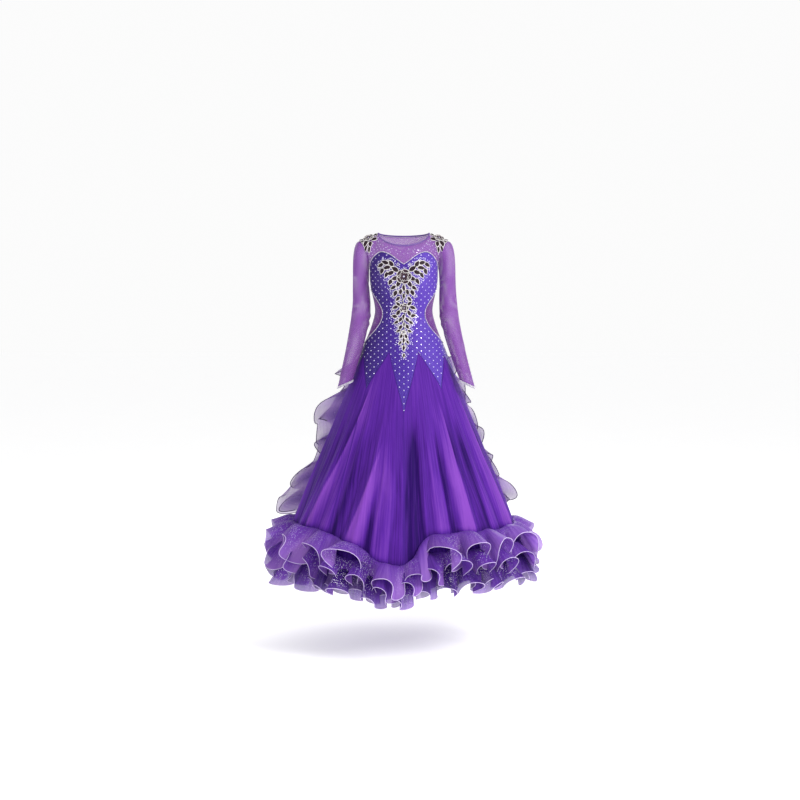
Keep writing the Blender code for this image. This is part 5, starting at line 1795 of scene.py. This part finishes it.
def build_yoke_stones(grids):
    """Small stones scattered on the yoke, closer together by the sweetheart edge and the shoulders."""
    stones = Gathered()
    dice = random.Random(9)
    for word in ("front", "back"):
        rows = grids[word]
        for level in range(2, YOKE_LINES - 1, 3):
            for k in range(2, YOKE_COLUMNS - 1, 5):
                column = k + 2.5 * (level % 2) + dice.uniform(-0.8, 0.8)
                line = level + dice.uniform(-0.5, 0.5)
                across = abs(column / YOKE_COLUMNS - 0.5) * 2
                keep = 0.10 + 1.1 * across ** 1.5 + 0.25 * (line / YOKE_LINES) ** 3
                if dice.random() > keep:
                    continue
                point, normal = grid_place(rows, line, min(column, YOKE_COLUMNS - 1.5))
                stones.stone(point + normal * 0.0002, normal, 0.0015, dice.uniform(0, 45))
    add(stones.make("look_yoke_stones", STONE, smooth=False), "bead_trim")


# Beads of the bodice's edge: distance out from the cloth, spacing, radius
EDGE_BEAD_OUT = 0.0014
EDGE_BEAD_STEP = 0.0034
EDGE_BEAD_RADIUS = 0.00165


def build_edge_beads(panels, trim):
    """Beads along the bodice's upper edge."""
    for rows in panels.values():
        edge = []
        for point in rows[0]:
            outward = Vector((point.x, point.y, 0.0)).normalized()
            edge.append(point + outward * EDGE_BEAD_OUT)
        for point in along_path(edge, EDGE_BEAD_STEP):
            trim.bead(point, EDGE_BEAD_RADIUS)


# Studio: camera and floor in metres, lens in millimetres, strengths of the backdrop as it is seen
# and as it lights
CAMERA_PLACE = (-0.0135, -5.0, -0.25)
CAMERA_AIM = (-0.0135, 0.0, -0.594)
CAMERA_LENS = 62.7
SENSOR_WIDTH = 36.0
FLOOR_HEIGHT = -1.466
FLOOR_REACH = 30.0
FLOOR_GLOW = 0.40
BACKDROP_SEEN = 0.97
BACKDROP_LIGHT = 0.62

# Lamps: name, place, aim, side in metres, power in watts
LAMPS = (
    ("key", (2.6, -2.8, 1.5), (0.0, 0.0, -0.6), 1.4, 150.0),
    ("fill", (-2.8, -2.4, 0.3), (0.0, 0.0, -0.7), 2.2, 22.0),
    ("back", (0.8, 2.8, 1.0), (0.0, 0.0, -0.6), 2.0, 60.0),
)


def build_light(name, place, aim, size, power):
    """Soft square studio light."""
    data = bpy.data.lights.new(name, "AREA")
    data.shape, data.size, data.energy = "SQUARE", size, power
    lamp = bpy.data.objects.new(name, data)
    lamp.location = place
    lamp.rotation_euler = (Vector(aim) - Vector(place)).to_track_quat("-Z", "Y").to_euler()
    bpy.context.scene.collection.objects.link(lamp)


def build_studio():
    """Camera, pale floor and soft lights."""
    scene = bpy.context.scene
    data = bpy.data.cameras.new("camera")
    data.lens = CAMERA_LENS
    data.sensor_width = SENSOR_WIDTH
    camera = bpy.data.objects.new("camera", data)
    camera.location = CAMERA_PLACE
    camera.rotation_euler = (Vector(CAMERA_AIM) - camera.location).to_track_quat("-Z", "Y").to_euler()
    scene.collection.objects.link(camera)
    scene.camera = camera
    material, tree = start_material("pale_floor")
    place = node(tree, "TexCoord").outputs["Object"]
    tone = node(tree, "TexNoise", {"Vector": place, "Scale": 3.0}).outputs[0]
    colour = mixed(tree, tone, (0.90, 0.90, 0.91, 1.0), (0.93, 0.93, 0.93, 1.0))
    close_material(tree, node(tree, "BsdfPrincipled", {
        "Base Color": colour, "Roughness": 0.9, "Specular IOR Level": 0.1,
        "Emission Color": (1.0, 1.0, 1.0, 1.0), "Emission Strength": FLOOR_GLOW}).outputs[0])
    floor = new_object("floor", [Vector((x * FLOOR_REACH, y * FLOOR_REACH, FLOOR_HEIGHT))
                                 for x, y in ((-1, -1), (1, -1), (1, 1), (-1, 1))],
                       [(0, 1, 2, 3)], material, smooth=False)
    world = bpy.data.worlds.new("studio")
    scene.world = world
    world.use_nodes = True
    studio = world.node_tree
    studio.nodes.clear()
    seen = node(studio, "Background", {"Color": (1.0, 1.0, 1.0, 1.0), "Strength": BACKDROP_SEEN})
    lit = node(studio, "Background", {"Color": (1.0, 1.0, 1.0, 1.0), "Strength": BACKDROP_LIGHT})
    to_camera = node(studio, "LightPath").outputs["Is Camera Ray"]
    mix = node(studio, "MixShader", {0: to_camera, 1: lit.outputs[0], 2: seen.outputs[0]})
    node(studio, "OutputWorld", {"Surface": mix.outputs[0]})
    for lamp in LAMPS:
        build_light(*lamp)
    scene.view_settings.view_transform = "Standard"


def build_dress():
    """All the looks of the dress."""
    trim = Gathered()
    panels = build_bodice()
    build_inserts(trim)
    build_skirt()
    build_hem()
    build_cascades()
    grids = build_yoke()
    for word, side in (("left", 1), ("right", -1)):
        build_sleeve(word, side, grids, trim)
    build_edge_beads(panels, trim)
    add(trim.make("look_bead_trim", BEAD), "bead_trim")
    shown, beads, hearts = build_front_applique()
    for word, side in (("left", 1), ("right", -1)):
        build_shoulder_applique(word, side, grids, beads, hearts)
    add(beads.make("look_applique_beads", SILVER_CORD), "applique")
    add(hearts.make("look_rose_hearts", STONE, smooth=False), "applique")
    build_bodice_stones(shown)
    build_yoke_stones(grids)


build_dress()
build_studio()
